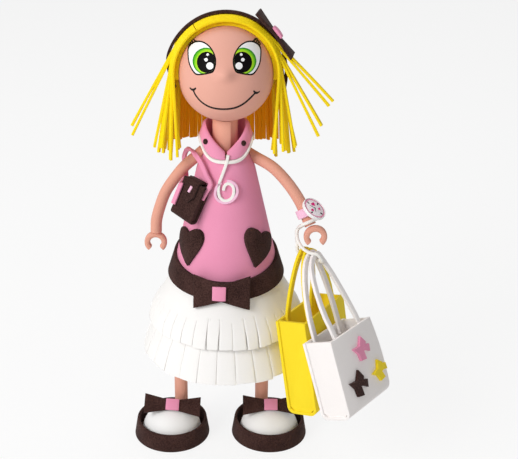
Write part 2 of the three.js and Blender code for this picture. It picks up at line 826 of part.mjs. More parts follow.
function makeHair(home) {
  const ball = (radius) => solidOf(new THREE.SphereGeometry(radius, 24, 12).rotateX(turn / 4));
  const half = (front, tilt, upright) => {
    const size = 8 * capRadius;
    const box = new THREE.BoxGeometry(size, size, size).translate(0, -size / 2 + front, 0);
    return solidOf(upright ? box.rotateX(turn / 4) : box.rotateX(tilt));
  };
  const fringeFrom = curtainRadius * Math.asin(fringePlane);
  const ahead = half(fringePlane * curtainRadius + browInset, -faceTilt, false);
  const maskBack = -headRadius * Math.cos(faceReach);
  const chin = half(maskBack, maskTilt, false).intersect(half(-capLow, 0, true));
  const maskRoom = ballShell(ballRadius, headRadius + seat, faceReach + 1.2 * degree, 36, 11);
  maskRoom.rotateX(maskTilt);
  const neckRoom = rod(neckRadius + foam, -2 * capRadius, 0);
  const bulk = ball(capRadius).subtract(ball(ballRadius + seat)).subtract(solidOf(maskRoom));
  piece('hair_cap', largest(bulk.subtract(ahead).subtract(chin).subtract(solidOf(neckRoom))),
    yellow, home);

  const tilted = new THREE.Group();
  tilted.rotation.x = -faceTilt;
  home.add(tilted);
  const part = -28 * degree;
  const fringeRows = (values) => values.map((row, k) => [fringeFrom + k * hairPitch, ...row]);
  const left = fringeRows([
    [-4, 0.9, hairHang],
    [1, 0.98, hairHang],
    [6, 0.88, hairHang],
    [30, 0.95, 0.06],
    [36, 1.02, 0.02],
  ]);
  const right = fringeRows([
    [2, 0.86, hairHang],
    [4, 0.96, hairHang],
    [8, 0.86, hairHang],
    [13, 0.9, hairHang],
    [28, 0.95, 0.03],
  ]);
  curtain('fringe_left', left, 1, curtainRadius, part, sideways, tilted);
  curtain('fringe_right', right, -1, curtainRadius, part - 5 * degree, sideways, tilted);
  const first = fringeFrom + (left.length + 0.2) * hairPitch;
  curtain('hair_left', rowsOf(first, sideStrips, [-9, -10, -10, -9, 2, 8, 6, 3, 2],
    [0.76, 0.74, 0.76, 0.75, 0.77, 0.9, 1, 0.95, 0.98], [hairHang]), 1, curtainRadius, part, sideways, tilted);
  curtain('hair_right', rowsOf(first, sideStrips, [-9, -10, -10, -9, 3, 7, 5, 3, 2],
    [0.75, 0.77, 0.74, 0.76, 0.75, 0.95, 0.9, 1, 0.92], [hairHang]), -1, curtainRadius, part - 5 * degree, sideways, tilted);
  curtain('hair_back', rowsOf((-(backStrips - 1) / 2) * hairPitch, backStrips, [3, 5, 3],
    [0.9, 0.98, 0.92, 1, 0.9], [-0.03, 0, 0.03]), 1, backRadius, 20 * degree, backways, home);
}

function makeHeadband(home) {
  const tilted = new THREE.Group();
  tilted.rotation.x = -faceTilt;
  home.add(tilted);
  const arc = new THREE.Shape();
  arc.absarc(0, 0, bandOuter, bandEnd, turn / 2 - bandEnd, false);
  arc.absarc(0, 0, bandInner, turn / 2 - bandEnd, bandEnd, true);
  piece('headband', plate(arc, bandWidth, 24).translate(0, bandWidth / 2, 0), brown, tilted);
  const tied = new THREE.Group();
  const out = new THREE.Vector3(Math.sin(headBowTurn), 0, Math.cos(headBowTurn));
  tied.position.copy(out).multiplyScalar(bandOuter + seat);
  tied.position.y = -headBowForward;
  const along = new THREE.Vector3(Math.cos(headBowTurn), 0, -Math.sin(headBowTurn));
  const inward = out.clone().negate();
  const basis = new THREE.Matrix4().makeBasis(along, inward, new THREE.Vector3(0, 1, 0));
  tied.quaternion.setFromRotationMatrix(basis);
  tilted.add(tied);
  piece('headband_bow', bow(headBowWidth, headBowHeight, headKnotHeight - foam, foam),
    brown, tied);
  const knotted = knot(headKnotWidth, headKnotHeight, foam).translate(0, -foam - seat, 0);
  piece('headband_bow_knot', knotted, pink, tied);
}

const shoulderPlace = coneTop - shoulderDrop;

// Shares of the arm's reach, from the shoulder to the wrist.
const rightArmShares = [[0, 0, 0], [-0.14, 0, -0.128], [-0.252, 0, -0.272], [-0.353, 0, -0.43],
  [-0.428, 0, -0.627], [-0.472, 0, -0.8], [-0.48, 0, -0.942]];
const leftArmShares = [[0, -0.025, 0], [0.19, -0.133, -0.082], [0.365, -0.25, -0.237],
  [0.495, -0.35, -0.41], [0.562, -0.417, -0.547], [0.59, -0.445, -0.605], [0.612, -0.467, -0.65]];

function armPoints(shares, side) {
  const points = shares.map(([x, y, z]) => new THREE.Vector3(side * shoulderAside + x * armReach,
    y * armReach, shoulderPlace + z * armReach));
  const inward = points[0].clone().sub(points[1]).normalize();
  return [points[0].clone().addScaledVector(inward, shoulderReach), ...points];
}

const rightArmPoints = armPoints(rightArmShares, -1);
const leftArmPoints = armPoints(leftArmShares, 1);
const leftArmCurve = new THREE.CatmullRomCurve3(leftArmPoints, false, 'centripetal');

function handCentre(points) {
  const wrist = points[points.length - 1];
  const before = points[points.length - 2];
  const along = new THREE.Vector3().subVectors(wrist, before).normalize();
  return wrist.clone().addScaledVector(along, handRadius + handTube + seat);
}

// The room that the body takes from an arm at every angle of its swing.
function bodyRoom() {
  const height = coneTop + blouseRise + 2 * seat;
  const room = solidOf(turned([
    [0, hipHeight],
    [coveringRadius(hipHeight) + seat, hipHeight],
    [coneShoulderRadius + 2 * seat + foam, shoulderTop],
    [coneTopRadius + 2 * seat + foam, height],
    [0, height],
  ], 48));
  const swings = 6;
  const turnedRooms = Array.from({ length: swings + 1 }, (_, k) => {
    const angle = ((armSwing * k) / swings) / degree;
    return room.translate([0, 0, -shoulderPlace]).rotate([angle, 0, 0])
      .translate([0, 0, shoulderPlace]);
  });
  return join(turnedRooms);
}

function makeArm(side, points, room) {
  const centre = handCentre(points);
  const fit = new THREE.CylinderGeometry(handRadius + handTube + seat,
    handRadius + handTube + seat, 6 * handDepth, 24);
  fit.translate(centre.x, centre.y, centre.z);
  const arm = solidOf(tube(points, armRadius, 15, 6)).subtract(solidOf(fit)).subtract(room);
  piece(`${side}_arm`, arm, skin);
  const steps = 14;
  const sides = 8;
  const loops = Array.from({ length: steps + 1 }, (_, k) => {
    const sweep = turn - handOpening;
    const angle = handOpening / 2 + (sweep * k) / steps;
    return Array.from({ length: sides }, (_unused, j) => {
      const round = (turn * j) / sides;
      const radius = handRadius + handTube * Math.cos(round);
      return new THREE.Vector3(radius * Math.sin(angle), handDepth * Math.sin(round),
        -radius * Math.cos(angle)).add(centre);
    });
  });
  piece(`${side}_hand`, loft(loops), skin);
}

function makeWatch() {
  const at = leftArmCurve.getPointAt(watchShare);
  const along = leftArmCurve.getTangentAt(watchShare);
  const home = new THREE.Group();
  home.position.copy(at);
  home.quaternion.setFromUnitVectors(up, along);
  doll.add(home);
  const inner = armRadius + seat;
  const half = watchStrapWidth / 2;
  const outer = inner + watchStrapThickness;
  piece('watch_strap', turned([[inner, -half], [outer, -half], [outer, half], [inner, half]], 28),
    pink, home);
  const faceShares = [0.6, -0.43, 0.68];
  const face = new THREE.Vector3(...faceShares).normalize();
  const out = face.clone().addScaledVector(along, -face.dot(along)).normalize();
  const dial = new THREE.Group();
  dial.position.copy(at).addScaledVector(out, outer + watchLift + watchThickness / 2);
  dial.quaternion.setFromUnitVectors(up, face);
  doll.add(dial);
  const rim = watchThickness / 2;
  const dish = watchThickness / 4;
  piece('watch_case', turned([[0, -rim], [watchRadius * 0.94, -rim], [watchRadius, -dish],
    [watchRadius, dish], [watchRadius * 0.95, rim], [watchRadius * 0.86, rim],
    [watchRadius * 0.84, dish], [0, dish]], 30), white, dial);
}

// The middle of the loop's low run, where the bags hang.
const loopWrist = leftArmCurve.getPointAt(loopShare);
const pivotShift = new THREE.Vector3(0.06, -0.18, -1).multiplyScalar(loopDrop);
const pivot = loopWrist.clone().add(pivotShift);
const rowAngle = 55 * degree;
const rowAcross = new THREE.Vector3(Math.sin(rowAngle), -Math.cos(rowAngle), 0);

function makeCarryLoop() {
  const along = leftArmCurve.getTangentAt(loopShare);
  const level = new THREE.Vector3().crossVectors(up, along).normalize();
  const above = new THREE.Vector3().crossVectors(along, level).negate();
  if (above.z < 0) above.negate();
  const hold = armRadius + seat + loopRadius;
  const wrist = (a, b) => loopWrist.clone().addScaledVector(level, a * hold)
    .addScaledVector(above, b * hold);
  const low = (a) => pivot.clone().addScaledVector(rowAcross, a * loopSpan);
  const front = level.y < 0 ? 1 : -1;
  const hung = (x, y, z) => new THREE.Vector3(x, y, z).multiplyScalar(loopDrop).add(pivot);
  const points = [
    wrist(0, 1),
    wrist(front * 0.75, 0.72),
    wrist(front * 1.08, 0),
    hung(-0.38, -0.1, 0.7),
    hung(-0.36, 0.02, 0.4),
    hung(-0.34, 0.12, 0.14),
    low(-0.82),
    low(0),
    low(0.82),
    hung(0.35, -0.06, 0.14),
    hung(0.31, 0.14, 0.36),
    hung(0.17, 0.34, 0.66),
    wrist(-front * 1.08, 0),
    wrist(-front * 0.75, 0.72),
  ];
  const curve = new THREE.CatmullRomCurve3(points, true, 'centripetal');
  const steps = 46;
  const sides = 7;
  const frames = curve.computeFrenetFrames(steps, true);
  const loops = Array.from({ length: steps }, (_, k) => {
    const at = curve.getPointAt(k / steps);
    return Array.from({ length: sides }, (_unused, j) => {
      const round = (turn * j) / sides;
      return at.clone().addScaledVector(frames.normals[k], loopRadius * Math.cos(round))
        .addScaledVector(frames.binormals[k], loopRadius * Math.sin(round));
    });
  });
  piece('carry_loop', loft(loops, true), beads);
}

// An open bag: one sheet bent round the bottom, with a gusset set in at each end.
function bagBody(width, depth, height, wall, corner, recess) {
  const outline = new THREE.Shape();
  const inner = corner - wall;
  outline.moveTo(0, 0);
  outline.lineTo(0, corner - height);
  outline.absarc(corner, corner - height, corner, turn / 2, 0.75 * turn, false);
  outline.lineTo(depth - corner, -height);
  outline.absarc(depth - corner, corner - height, corner, 0.75 * turn, turn, false);
  outline.lineTo(depth, 0);
  outline.lineTo(depth - wall, 0);
  outline.lineTo(depth - wall, corner - height);
  outline.absarc(depth - corner, corner - height, inner, turn, 0.75 * turn, true);
  outline.lineTo(corner, wall - height);
  outline.absarc(corner, corner - height, inner, 0.75 * turn, turn / 2, true);
  outline.lineTo(wall, 0);
  const settings = { depth: width, bevelEnabled: false, curveSegments: 4 };
  const stand = (geometry, x) => geometry.rotateX(turn / 4).rotateZ(turn / 4)
    .translate(x, 0, 0);
  const sheet = stand(new THREE.ExtrudeGeometry(outline, settings), -width / 2);
  const pinch = overrun / 10;
  const gusset = new THREE.Shape();
  gusset.moveTo(wall - pinch, 0);
  gusset.lineTo(wall - pinch, corner - height);
  gusset.lineTo(corner, wall - pinch - height);
  gusset.lineTo(depth - corner, wall - pinch - height);
  gusset.lineTo(depth - wall + pinch, corner - height);
  gusset.lineTo(depth - wall + pinch, 0);
  const ends = [-1, 1].map((sign) => {
    const end = new THREE.ExtrudeGeometry(gusset, { ...settings, depth: wall });
    return solidOf(stand(end, sign * (width / 2 - recess - wall / 2) - wall / 2));
  });
  return join([solidOf(sheet), ...ends]);
}

// A handle: a strip that rises from two feet on a panel and passes over the loop.
function handle(feet, y, top, apexY, apexZ) {
  const sink = 7;
  const [near, far] = feet;
  const rise = (share) => top + (apexZ - top) * share;
  const across = (share) => y + (apexY - y) * share;
  const leg = (foot) => [
    new THREE.Vector3(foot, y, top - sink),
    new THREE.Vector3(foot, y, top),
    new THREE.Vector3(foot * 0.97, across(0.3), rise(0.3)),
    new THREE.Vector3(foot * 0.76, across(0.66), rise(0.66)),
    new THREE.Vector3(foot * 0.45, across(0.9), rise(0.9)),
    new THREE.Vector3(Math.sign(foot) * handleBend, apexY, apexZ - handleBend / 6),
  ];
  const points = [...leg(near), new THREE.Vector3(0, apexY, apexZ), ...leg(far).reverse()];
  const curve = new THREE.CatmullRomCurve3(points, false, 'centripetal');
  return strip(curve.getPoints(26), foam, handleWidth, new THREE.Vector3(0, 1, 0));
}

function makeBag(name, size, place, tilt, apexes, color) {
  const home = new THREE.Group();
  home.position.copy(pivot);
  home.rotation.set(tilt[0] * degree, tilt[1] * degree, tilt[2] * degree, 'ZYX');
  doll.add(home);
  const [x, y, z] = place;
  const body = geometryOf(bagBody(size.width, size.depth, size.height, bagWall, bagCorner,
    gussetRecess));
  piece(`${name}_bag`, body.translate(x, y, z), color, home);
  const footShare = 0.3;
  const feet = [x - footShare * size.width, x + footShare * size.width];
  const inset = bagWall + seat + foam / 2;
  const lean = tilt[0] * degree;
  const clear = loopRadius + seat + (foam / 2) * Math.abs(Math.sin(lean));
  const rest = (apexY) => (clear - apexY * Math.sin(lean)) / Math.cos(lean) + handleWidth / 2;
  const front = handle(feet, y + inset, z, apexes[0], rest(apexes[0]));
  const back = handle(feet, y + size.depth - inset, z, apexes[1], rest(apexes[1]));
  piece(`${name}_bag_front_handle`, front, color, home);
  piece(`${name}_bag_back_handle`, back, color, home);
  return home;
}

// A ribbon bow with two loops and two tails.
function decalOutline(size) {
  const shares = [[0, 0.1], [0.3, 0.42], [0.5, 0.3], [0.45, -0.02], [0.16, -0.06], [0.34, -0.46],
    [0.12, -0.5], [0, -0.2], [-0.12, -0.5], [-0.34, -0.46], [-0.16, -0.06], [-0.45, -0.02],
    [-0.5, 0.3], [-0.3, 0.42]];
  return new THREE.Shape(shares.map(([x, z]) => new THREE.Vector2(x * size, z * size)));
}

function makeBags() {
  const half = handleSpacing / 2;
  const yellowPlace = [yellowAside, -yellowForward, -yellowDrop];
  makeBag('yellow', { width: yellowWidth, depth: yellowDepth, height: yellowHeight },
    yellowPlace, [-11.4, 2.7, 57.4], [half, half + handleSpacing], yellow);
  const whitePlace = [-whiteAside, -whiteForward, -whiteDrop];
  const home = makeBag('white', { width: whiteWidth, depth: whiteDepth, height: whiteHeight },
    whitePlace, [-21.6, 3.7, 53.3], [-half - handleSpacing, -half], white);
  const decals = [['pink_ribbon', 0.08, 0.31, -45, pink], ['yellow_ribbon', 0.34, 0.68, -30, yellow],
    ['brown_ribbon', -0.15, 0.69, -50, brown]];
  for (const [name, across, down, roll, color] of decals) {
    const shape = plate(decalOutline(decalSize), decalThickness).rotateY(-roll * degree);
    shape.translate(whitePlace[0] + across * whiteWidth, whitePlace[1] - seat,
      whitePlace[2] - down * whiteHeight);
    piece(name, shape, color, home);
  }
}

const purseLean = new THREE.Euler(-13 * degree, 9 * degree, -28 * degree, 'ZYX');
const pursePlace = new THREE.Vector3(-purseAside, -purseForward, coneTop - purseDrop);

function makePurse() {
  const home = new THREE.Group();
  home.position.copy(pursePlace);
  home.rotation.copy(purseLean);
  doll.add(home);
  piece('purse', bagBody(purseWidth, purseDepth, purseHeight, purseWall, purseCorner, purseWall / 2),
    brown, home);
  const lid = new THREE.Shape();
  const out = -seat - flapThickness;
  lid.moveTo(purseDepth, seat);
  lid.lineTo(purseDepth, seat + flapThickness);
  lid.lineTo(0, seat + flapThickness);
  lid.quadraticCurveTo(out, seat + flapThickness, out, 0);
  lid.lineTo(out, -flapDrop);
  lid.lineTo(out + flapThickness, -flapDrop);
  lid.lineTo(out + flapThickness, 0);
  lid.quadraticCurveTo(out + flapThickness, seat, 0, seat);
  const settings = { depth: flapWidth, bevelEnabled: false, curveSegments: 5 };
  const flap = new THREE.ExtrudeGeometry(lid, settings);
  flap.rotateX(turn / 4).rotateZ(turn / 4).translate(-flapWidth / 2, 0, 0);
  piece('purse_flap', flap, brown, home);

  const corner = (x, y, z) => new THREE.Vector3(x, y, z).applyEuler(purseLean).add(pursePlace);
  const aside = purseWidth / 2 + seat + purseStrapWidth / 2;
  const middle = purseDepth / 2;
  const over = coneTop;
  const points = [
    corner(-aside, middle, -0.86 * purseHeight),
    corner(-aside, middle, -0.4 * purseHeight),
    corner(-aside, middle, -0.18 * purseHeight),
    new THREE.Vector3(-28.8, -4.5, over - 19.6),
    new THREE.Vector3(-27.6, 2, over - 20),
    new THREE.Vector3(-28.3, 7, over - 15.5),
    new THREE.Vector3(-29, 8.4, over - 8.5),
    new THREE.Vector3(-27, 6.4, over - 2.2),
    new THREE.Vector3(-24, 0.6, over + 0.4),
    new THREE.Vector3(-21.3, -7.5, over + 0.2),
    new THREE.Vector3(-17.6, -14.4, over - 4),
    new THREE.Vector3(-14.6, -19.8, over - 11),
    corner(aside, middle, 0.06 * purseHeight),
    corner(aside, middle, -0.12 * purseHeight),
    corner(aside, middle, -0.4 * purseHeight),
  ];
  const curve = new THREE.CatmullRomCurve3(points, false, 'centripetal');
  const wide = new THREE.Vector3(1, 0, 0).applyEuler(purseLean);
  piece('purse_strap', strip(curve.getPoints(44), purseStrapWidth, purseStrapThickness, wide), pink);
}

makeShoe('right', -rightShoeAside, -rightLegAside, 5 * degree);
makeShoe('left', leftShoeAside, leftLegAside, 0);
makeLeg('right', -rightLegAside);
makeLeg('left', leftLegAside);
makeBody();
makeSkirt();
makeBelt();
makeHearts();
makeNeck();
makeCollar();
makePendant();

const head = new THREE.Group();
head.position.z = headHeight;
doll.add(head);
makeHead(head);
makeHair(head);
makeHeadband(head);

const room = bodyRoom();
makeArm('right', rightArmPoints, room);
makeArm('left', leftArmPoints, room);
makeWatch();
makeCarryLoop();
makeBags();
makePurse();

// The origin is the middle of the doll's footprint, on the floor.
const reach = new THREE.Box3().setFromObject(doll, true);
doll.position.x = -(reach.min.x + reach.max.x) / 2;
doll.position.y = -(reach.min.y + reach.max.y) / 2;

export default doll;
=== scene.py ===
# The foam doll, dressed over its CAD frame. Lengths are typed in millimetres and built in metres.
import math
import random

import bpy
from mathutils import Euler, Matrix, Vector


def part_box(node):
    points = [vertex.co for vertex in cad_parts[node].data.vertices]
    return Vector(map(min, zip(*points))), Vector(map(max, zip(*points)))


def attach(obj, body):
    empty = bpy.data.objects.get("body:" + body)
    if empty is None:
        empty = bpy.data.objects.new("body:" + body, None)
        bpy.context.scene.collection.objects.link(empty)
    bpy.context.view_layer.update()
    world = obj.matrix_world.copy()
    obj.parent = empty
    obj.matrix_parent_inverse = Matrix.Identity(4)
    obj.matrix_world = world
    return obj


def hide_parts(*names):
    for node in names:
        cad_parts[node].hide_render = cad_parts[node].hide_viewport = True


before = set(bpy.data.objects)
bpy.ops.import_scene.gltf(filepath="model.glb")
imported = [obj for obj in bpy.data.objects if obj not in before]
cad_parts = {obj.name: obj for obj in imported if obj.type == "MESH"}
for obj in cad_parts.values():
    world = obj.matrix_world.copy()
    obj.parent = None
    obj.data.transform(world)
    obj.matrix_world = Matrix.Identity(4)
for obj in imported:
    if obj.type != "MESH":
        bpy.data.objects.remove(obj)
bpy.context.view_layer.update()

low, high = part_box("body_core")
axis = Vector(((low.x + high.x) / 2, (low.y + high.y) / 2, 0))
MM = 0.001
HEAD_HEIGHT = 285.39
HEAD_RADIUS = 32.0
CURTAIN = 37.1
BACK_CURTAIN = 40.0
HAIR_LENGTH = 62
CORE_ROOM = 30.05
CAP_ROOM, CAP_RADIUS = 32.3, 35.8
FOAM = 2.0
SEAT = 0.3
HIP = 118.0
CONE_BOTTOM = 40.7
CONE_SHOULDER = 17.3
SHOULDER = 221.0
CONE_TOP = 230.5
SHOULDER_PLACE = CONE_TOP - 4.6
SHOULDER_SIDE = 20.5
ARM_REACH = 60.0
ARM_RADIUS = 4.0
RIGHT_SHOE, LEFT_SHOE = -41.2, 32.9
RIGHT_LEG, LEFT_LEG = -34.0, 27.0
LEG_BACK = 4.0
FACE_TILT = math.radians(12)
CHIN_TILT = math.radians(34)
BOW_DIP = math.radians(10)
CAMERA = Vector((0, -723.7, 508.1))
CAMERA_DROP = math.radians(25)
FOCAL_PIXELS = 1131.0
AIM_PIXEL = (226.0, 229.5)
HEAD_CROP_LEFT = 120
HEAD_CROP_SCALE = 6.817
head_centre = Vector((0, 0, HEAD_HEIGHT))


def at(point):
    """A point of the doll, in millimetres, in the row frame."""
    return axis + Vector(point) * MM


# ---------------------------------------------------------------- making

def only(obj):
    bpy.ops.object.select_all(action="DESELECT")
    obj.select_set(True)
    bpy.context.view_layer.objects.active = obj
    return obj


def sphere(name, segments, rings, radius=1, **placing):
    bpy.ops.mesh.primitive_uv_sphere_add(segments=segments, ring_count=rings, radius=radius,
                                         **placing)
    obj = only(bpy.context.active_object)
    obj.name = name
    return obj


def linked(name, mesh):
    obj = bpy.data.objects.new(name, mesh)
    bpy.context.scene.collection.objects.link(obj)
    return only(obj)


def meshed(name, points, faces=(), edges=()):
    """A mesh from points of the doll in millimetres."""
    mesh = bpy.data.meshes.new(name)
    mesh.from_pydata([at(p) for p in points], edges, faces)
    mesh.update()
    return linked(name, mesh)


def editing(obj):
    only(obj)
    bpy.ops.object.mode_set(mode="EDIT")
    bpy.ops.mesh.select_mode(type="VERT")
    bpy.ops.mesh.select_all(action="SELECT")


def tidied(obj, merge=0.02):
    """Doubles merged and faces pointing outwards."""
    editing(obj)
    bpy.ops.mesh.remove_doubles(threshold=merge * MM)
    bpy.ops.mesh.normals_make_consistent(inside=False)
    bpy.ops.object.mode_set(mode="OBJECT")
    return obj


def sliced(obj, point, normal, fill=True):
    """What lies behind a plane; without fill the piece stays whole and gets edges there."""
    editing(obj)
    bpy.ops.mesh.bisect(plane_co=point, plane_no=normal, use_fill=fill, clear_outer=fill)
    bpy.ops.object.mode_set(mode="OBJECT")
    return obj


def around(angle, section):
    """A section of (radius, height) at an angle round the doll, from its front."""
    return [(r * math.sin(angle), -r * math.cos(angle), z) for r, z in section]


def full_turn(count):
    return [2 * math.pi * k / count for k in range(count)]


def middle_of(node):
    low_corner, high_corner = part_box(node)
    return ((low_corner + high_corner) / 2 - axis) / MM


def strip_section(half, deep, corner):
    """A flat strip cut across, its corners taken off."""
    return [(-half + corner, -deep), (half - corner, -deep), (half, -deep + corner),
            (half, deep - corner), (half - corner, deep), (-half + corner, deep),
            (-half, deep - corner), (-half, -deep + corner)]


def applied(obj, kind, **values):
    only(obj)
    modifier = obj.modifiers.new(kind, kind)
    for key, value in values.items():
        setattr(modifier, key, value)
    bpy.ops.object.modifier_apply(modifier=modifier.name)
    return obj


def rounded(obj, width=0.4, segments=2, angle=35):
    """The soft cut edge of a foam sheet."""
    return applied(obj, "BEVEL", width=width * MM, segments=segments, limit_method="ANGLE",
                   angle_limit=math.radians(angle), use_clamp_overlap=True)


def shaded(obj, angle=35):
    only(obj)
    bpy.ops.object.shade_smooth_by_angle(angle=math.radians(angle))
    return obj


def dressed(obj, material, body, stands_for=(), angle=35):
    """The finished piece, with its material, on its body."""
    shaded(obj, angle)
    if material is not None:
        obj.data.materials.clear()
        obj.data.materials.append(material)
    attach(obj, body)
    if stands_for:
        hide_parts(*stands_for)
    return obj


def cut(obj, tool, operation="DIFFERENCE"):
    """obj with the tool's room cut from it."""
    applied(obj, "BOOLEAN", object=tool, operation=operation, solver="EXACT")
    bpy.data.objects.remove(tool, do_unlink=True)
    return obj


def spun(name, profile, steps=96, centre=(0, 0, 0), about=(0, 0, 1)):
    """A profile of points turned round an axis."""
    count = len(profile)
    obj = meshed(name, profile, edges=[(k, (k + 1) % count) for k in range(count)])
    editing(obj)
    bpy.ops.mesh.spin(steps=steps, angle=2 * math.pi, center=at(centre), axis=about)
    bpy.ops.mesh.select_all(action="SELECT")
    bpy.ops.mesh.remove_doubles(threshold=0.02 * MM)
    bpy.ops.mesh.select_all(action="SELECT")
    bpy.ops.mesh.delete_loose(use_verts=True, use_edges=True, use_faces=False)
    bpy.ops.object.mode_set(mode="OBJECT")
    return tidied(obj)


def turned(name, profile, x=0, y=0, steps=96):
    """A profile of (radius, height) turned round an upright axis."""
    inner = [(r + x, y, z) for r, z in profile]
    return spun(name, inner, steps, centre=(x, y, 0))


def plated(name, outline, depth, place, matrix):
    """A flat outline given depth towards its back, then set in its place."""
    mesh = bpy.data.meshes.new(name)
    mesh.from_pydata([(x * MM, 0, z * MM) for x, z in outline], [], [list(range(len(outline)))])
    obj = linked(name, mesh)
    editing(obj)
    bpy.ops.mesh.extrude_region_move(TRANSFORM_OT_translate={"value": (0, depth * MM, 0)})
    bpy.ops.object.mode_set(mode="OBJECT")
    obj.data.transform(Matrix.Translation(at(place)) @ matrix.to_4x4())
    return tidied(obj, 0.001)


def lofted(name, rows, closed=False, capped=True):
    """A skin through rows of points, each row a closed loop."""
    count = len(rows[0])
    points = [p for row in rows for p in row]
    faces = []
    spans = len(rows) if closed else len(rows) - 1
    for k in range(spans):
        here, there = k * count, ((k + 1) % len(rows)) * count
        for j in range(count):
            beside = (j + 1) % count
            faces.append((here + j, there + j, there + beside, here + beside))
    if capped and not closed:
        faces.append(tuple(range(count)))
        faces.append(tuple(len(points) - count + j for j in range(count)))
    return tidied(meshed(name, points, faces), 0.001)


def moved(obj, matrix, about=(0, 0, 0)):
    """The piece turned about a point of the doll."""
    middle = Matrix.Translation(at(about))
    obj.data.transform(middle @ matrix.to_4x4() @ middle.inverted())
    return obj


def spin(degrees, about):
    return Matrix.Rotation(math.radians(degrees), 4, about)


def joined(name, parts):
    bpy.ops.object.select_all(action="DESELECT")
    for part in parts:
        part.select_set(True)
    bpy.context.view_layer.objects.active = parts[0]
    if len(parts) > 1:
        bpy.ops.object.join()
    parts[0].name = name
    return parts[0]


def polished(name, node, width=0.4, segments=2, angle=35, flat=1.0):
    """A copy of a CAD node with merged faces and softened edges."""
    obj = linked(name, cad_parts[node].data.copy())
    tidied(obj, 0.01)
    editing(obj)
    bpy.ops.mesh.dissolve_limited(angle_limit=math.radians(flat))
    bpy.ops.object.mode_set(mode="OBJECT")
    if width:
        rounded(obj, width, segments, angle)
    return obj


def spline(points, closed=False, density=12):
    """A centripetal curve through the points."""
    given = [Vector(p) for p in points]
    if closed:
        path = [given[-1], *given, given[0], given[1]]
    else:
        path = [2 * given[0] - given[1], *given, 2 * given[-1] - given[-2]]
    out = []
    for k in range(1, len(path) - 2):
        p0, p1, p2, p3 = path[k - 1:k + 3]
        a, b, c = (max((q - p).length, 1e-6) ** 0.5 for p, q in ((p0, p1), (p1, p2), (p2, p3)))
        t1 = (p1 - p0) / a - (p2 - p0) / (a + b) + (p2 - p1) / b
        t2 = (p2 - p1) / b - (p3 - p1) / (b + c) + (p3 - p2) / c
        t1 *= b
        t2 *= b
        for j in range(density):
            t = j / density
            out.append(p1 + t * t1 + t * t * (3 * (p2 - p1) - 2 * t1 - t2)
                       + t * t * t * (2 * (p1 - p2) + t1 + t2))
    if not closed:
        out.append(given[-1])
    return out


def along(points, share):
    """The point and the direction at a share of a curve's length."""
    lengths = [(q - p).length for p, q in zip(points, points[1:])]
    left = share * sum(lengths)
    for k, length in enumerate(lengths):
        if left <= length or k == len(lengths) - 1:
            way = (points[k + 1] - points[k]).normalized()
            return points[k] + way * left, way
        left -= length


def piped(name, points, radius, closed=False, sides=6):
    """A round rod of foam along a curve."""
    curve = bpy.data.curves.new(name, "CURVE")
    curve.dimensions = "3D"
    curve.bevel_depth = radius * MM
    curve.bevel_resolution = sides
    curve.use_fill_caps = not closed
    line = curve.splines.new("POLY")
    line.points.add(len(points) - 1)
    for spot, point in zip(line.points, points):
        spot.co = (*at(point), 1)
    line.use_cyclic_u = closed
    obj = linked(name, curve)
    bpy.ops.object.convert(target="MESH")
    return tidied(bpy.context.view_layer.objects.active, 0.005)


def ribbon(name, points, aside, width, thickness, closed=False, corner=0.3):
    """A flat strip along a curve; aside gives the way its width lies, one or one a point."""
    rows = []
    count = len(points)
    for k, point in enumerate(points):
        before = points[(k - 1) % count if closed else max(k - 1, 0)]
        after = points[(k + 1) % count if closed else min(k + 1, count - 1)]
        way = (after - before).normalized()
        side = aside[k] if isinstance(aside, list) else aside
        wide = (side - side.dot(way) * way).normalized()
        thick = way.cross(wide)
        rows.append([point + wide * a + thick * b
                     for a, b in strip_section(width / 2, thickness / 2, corner)])
    return lofted(name, rows, closed)


# ---------------------------------------------------------------- finishes

def linear(value):
    """A colour written as the eye sees it, 0 to 255, as the shader wants it."""
    return tuple((v / 255 / 12.92 if v <= 10 else ((v / 255 + 0.055) / 1.055) ** 2.4)
                 for v in value) + (1.0,)


def placed(tree, kind, inputs=(), **settings):
    """A shader node with its settings; an input that is a socket is linked."""
    node = tree.nodes.new(kind)
    for key, value in settings.items():
        setattr(node, key, value)
    for key, value in dict(inputs).items():
        if isinstance(value, bpy.types.NodeSocket):
            tree.links.new(value, node.inputs[key])
        else:
            node.inputs[key].default_value = value
    return node


def counted(tree, operation, *inputs):
    return placed(tree, "ShaderNodeMath", enumerate(inputs), operation=operation).outputs[0]


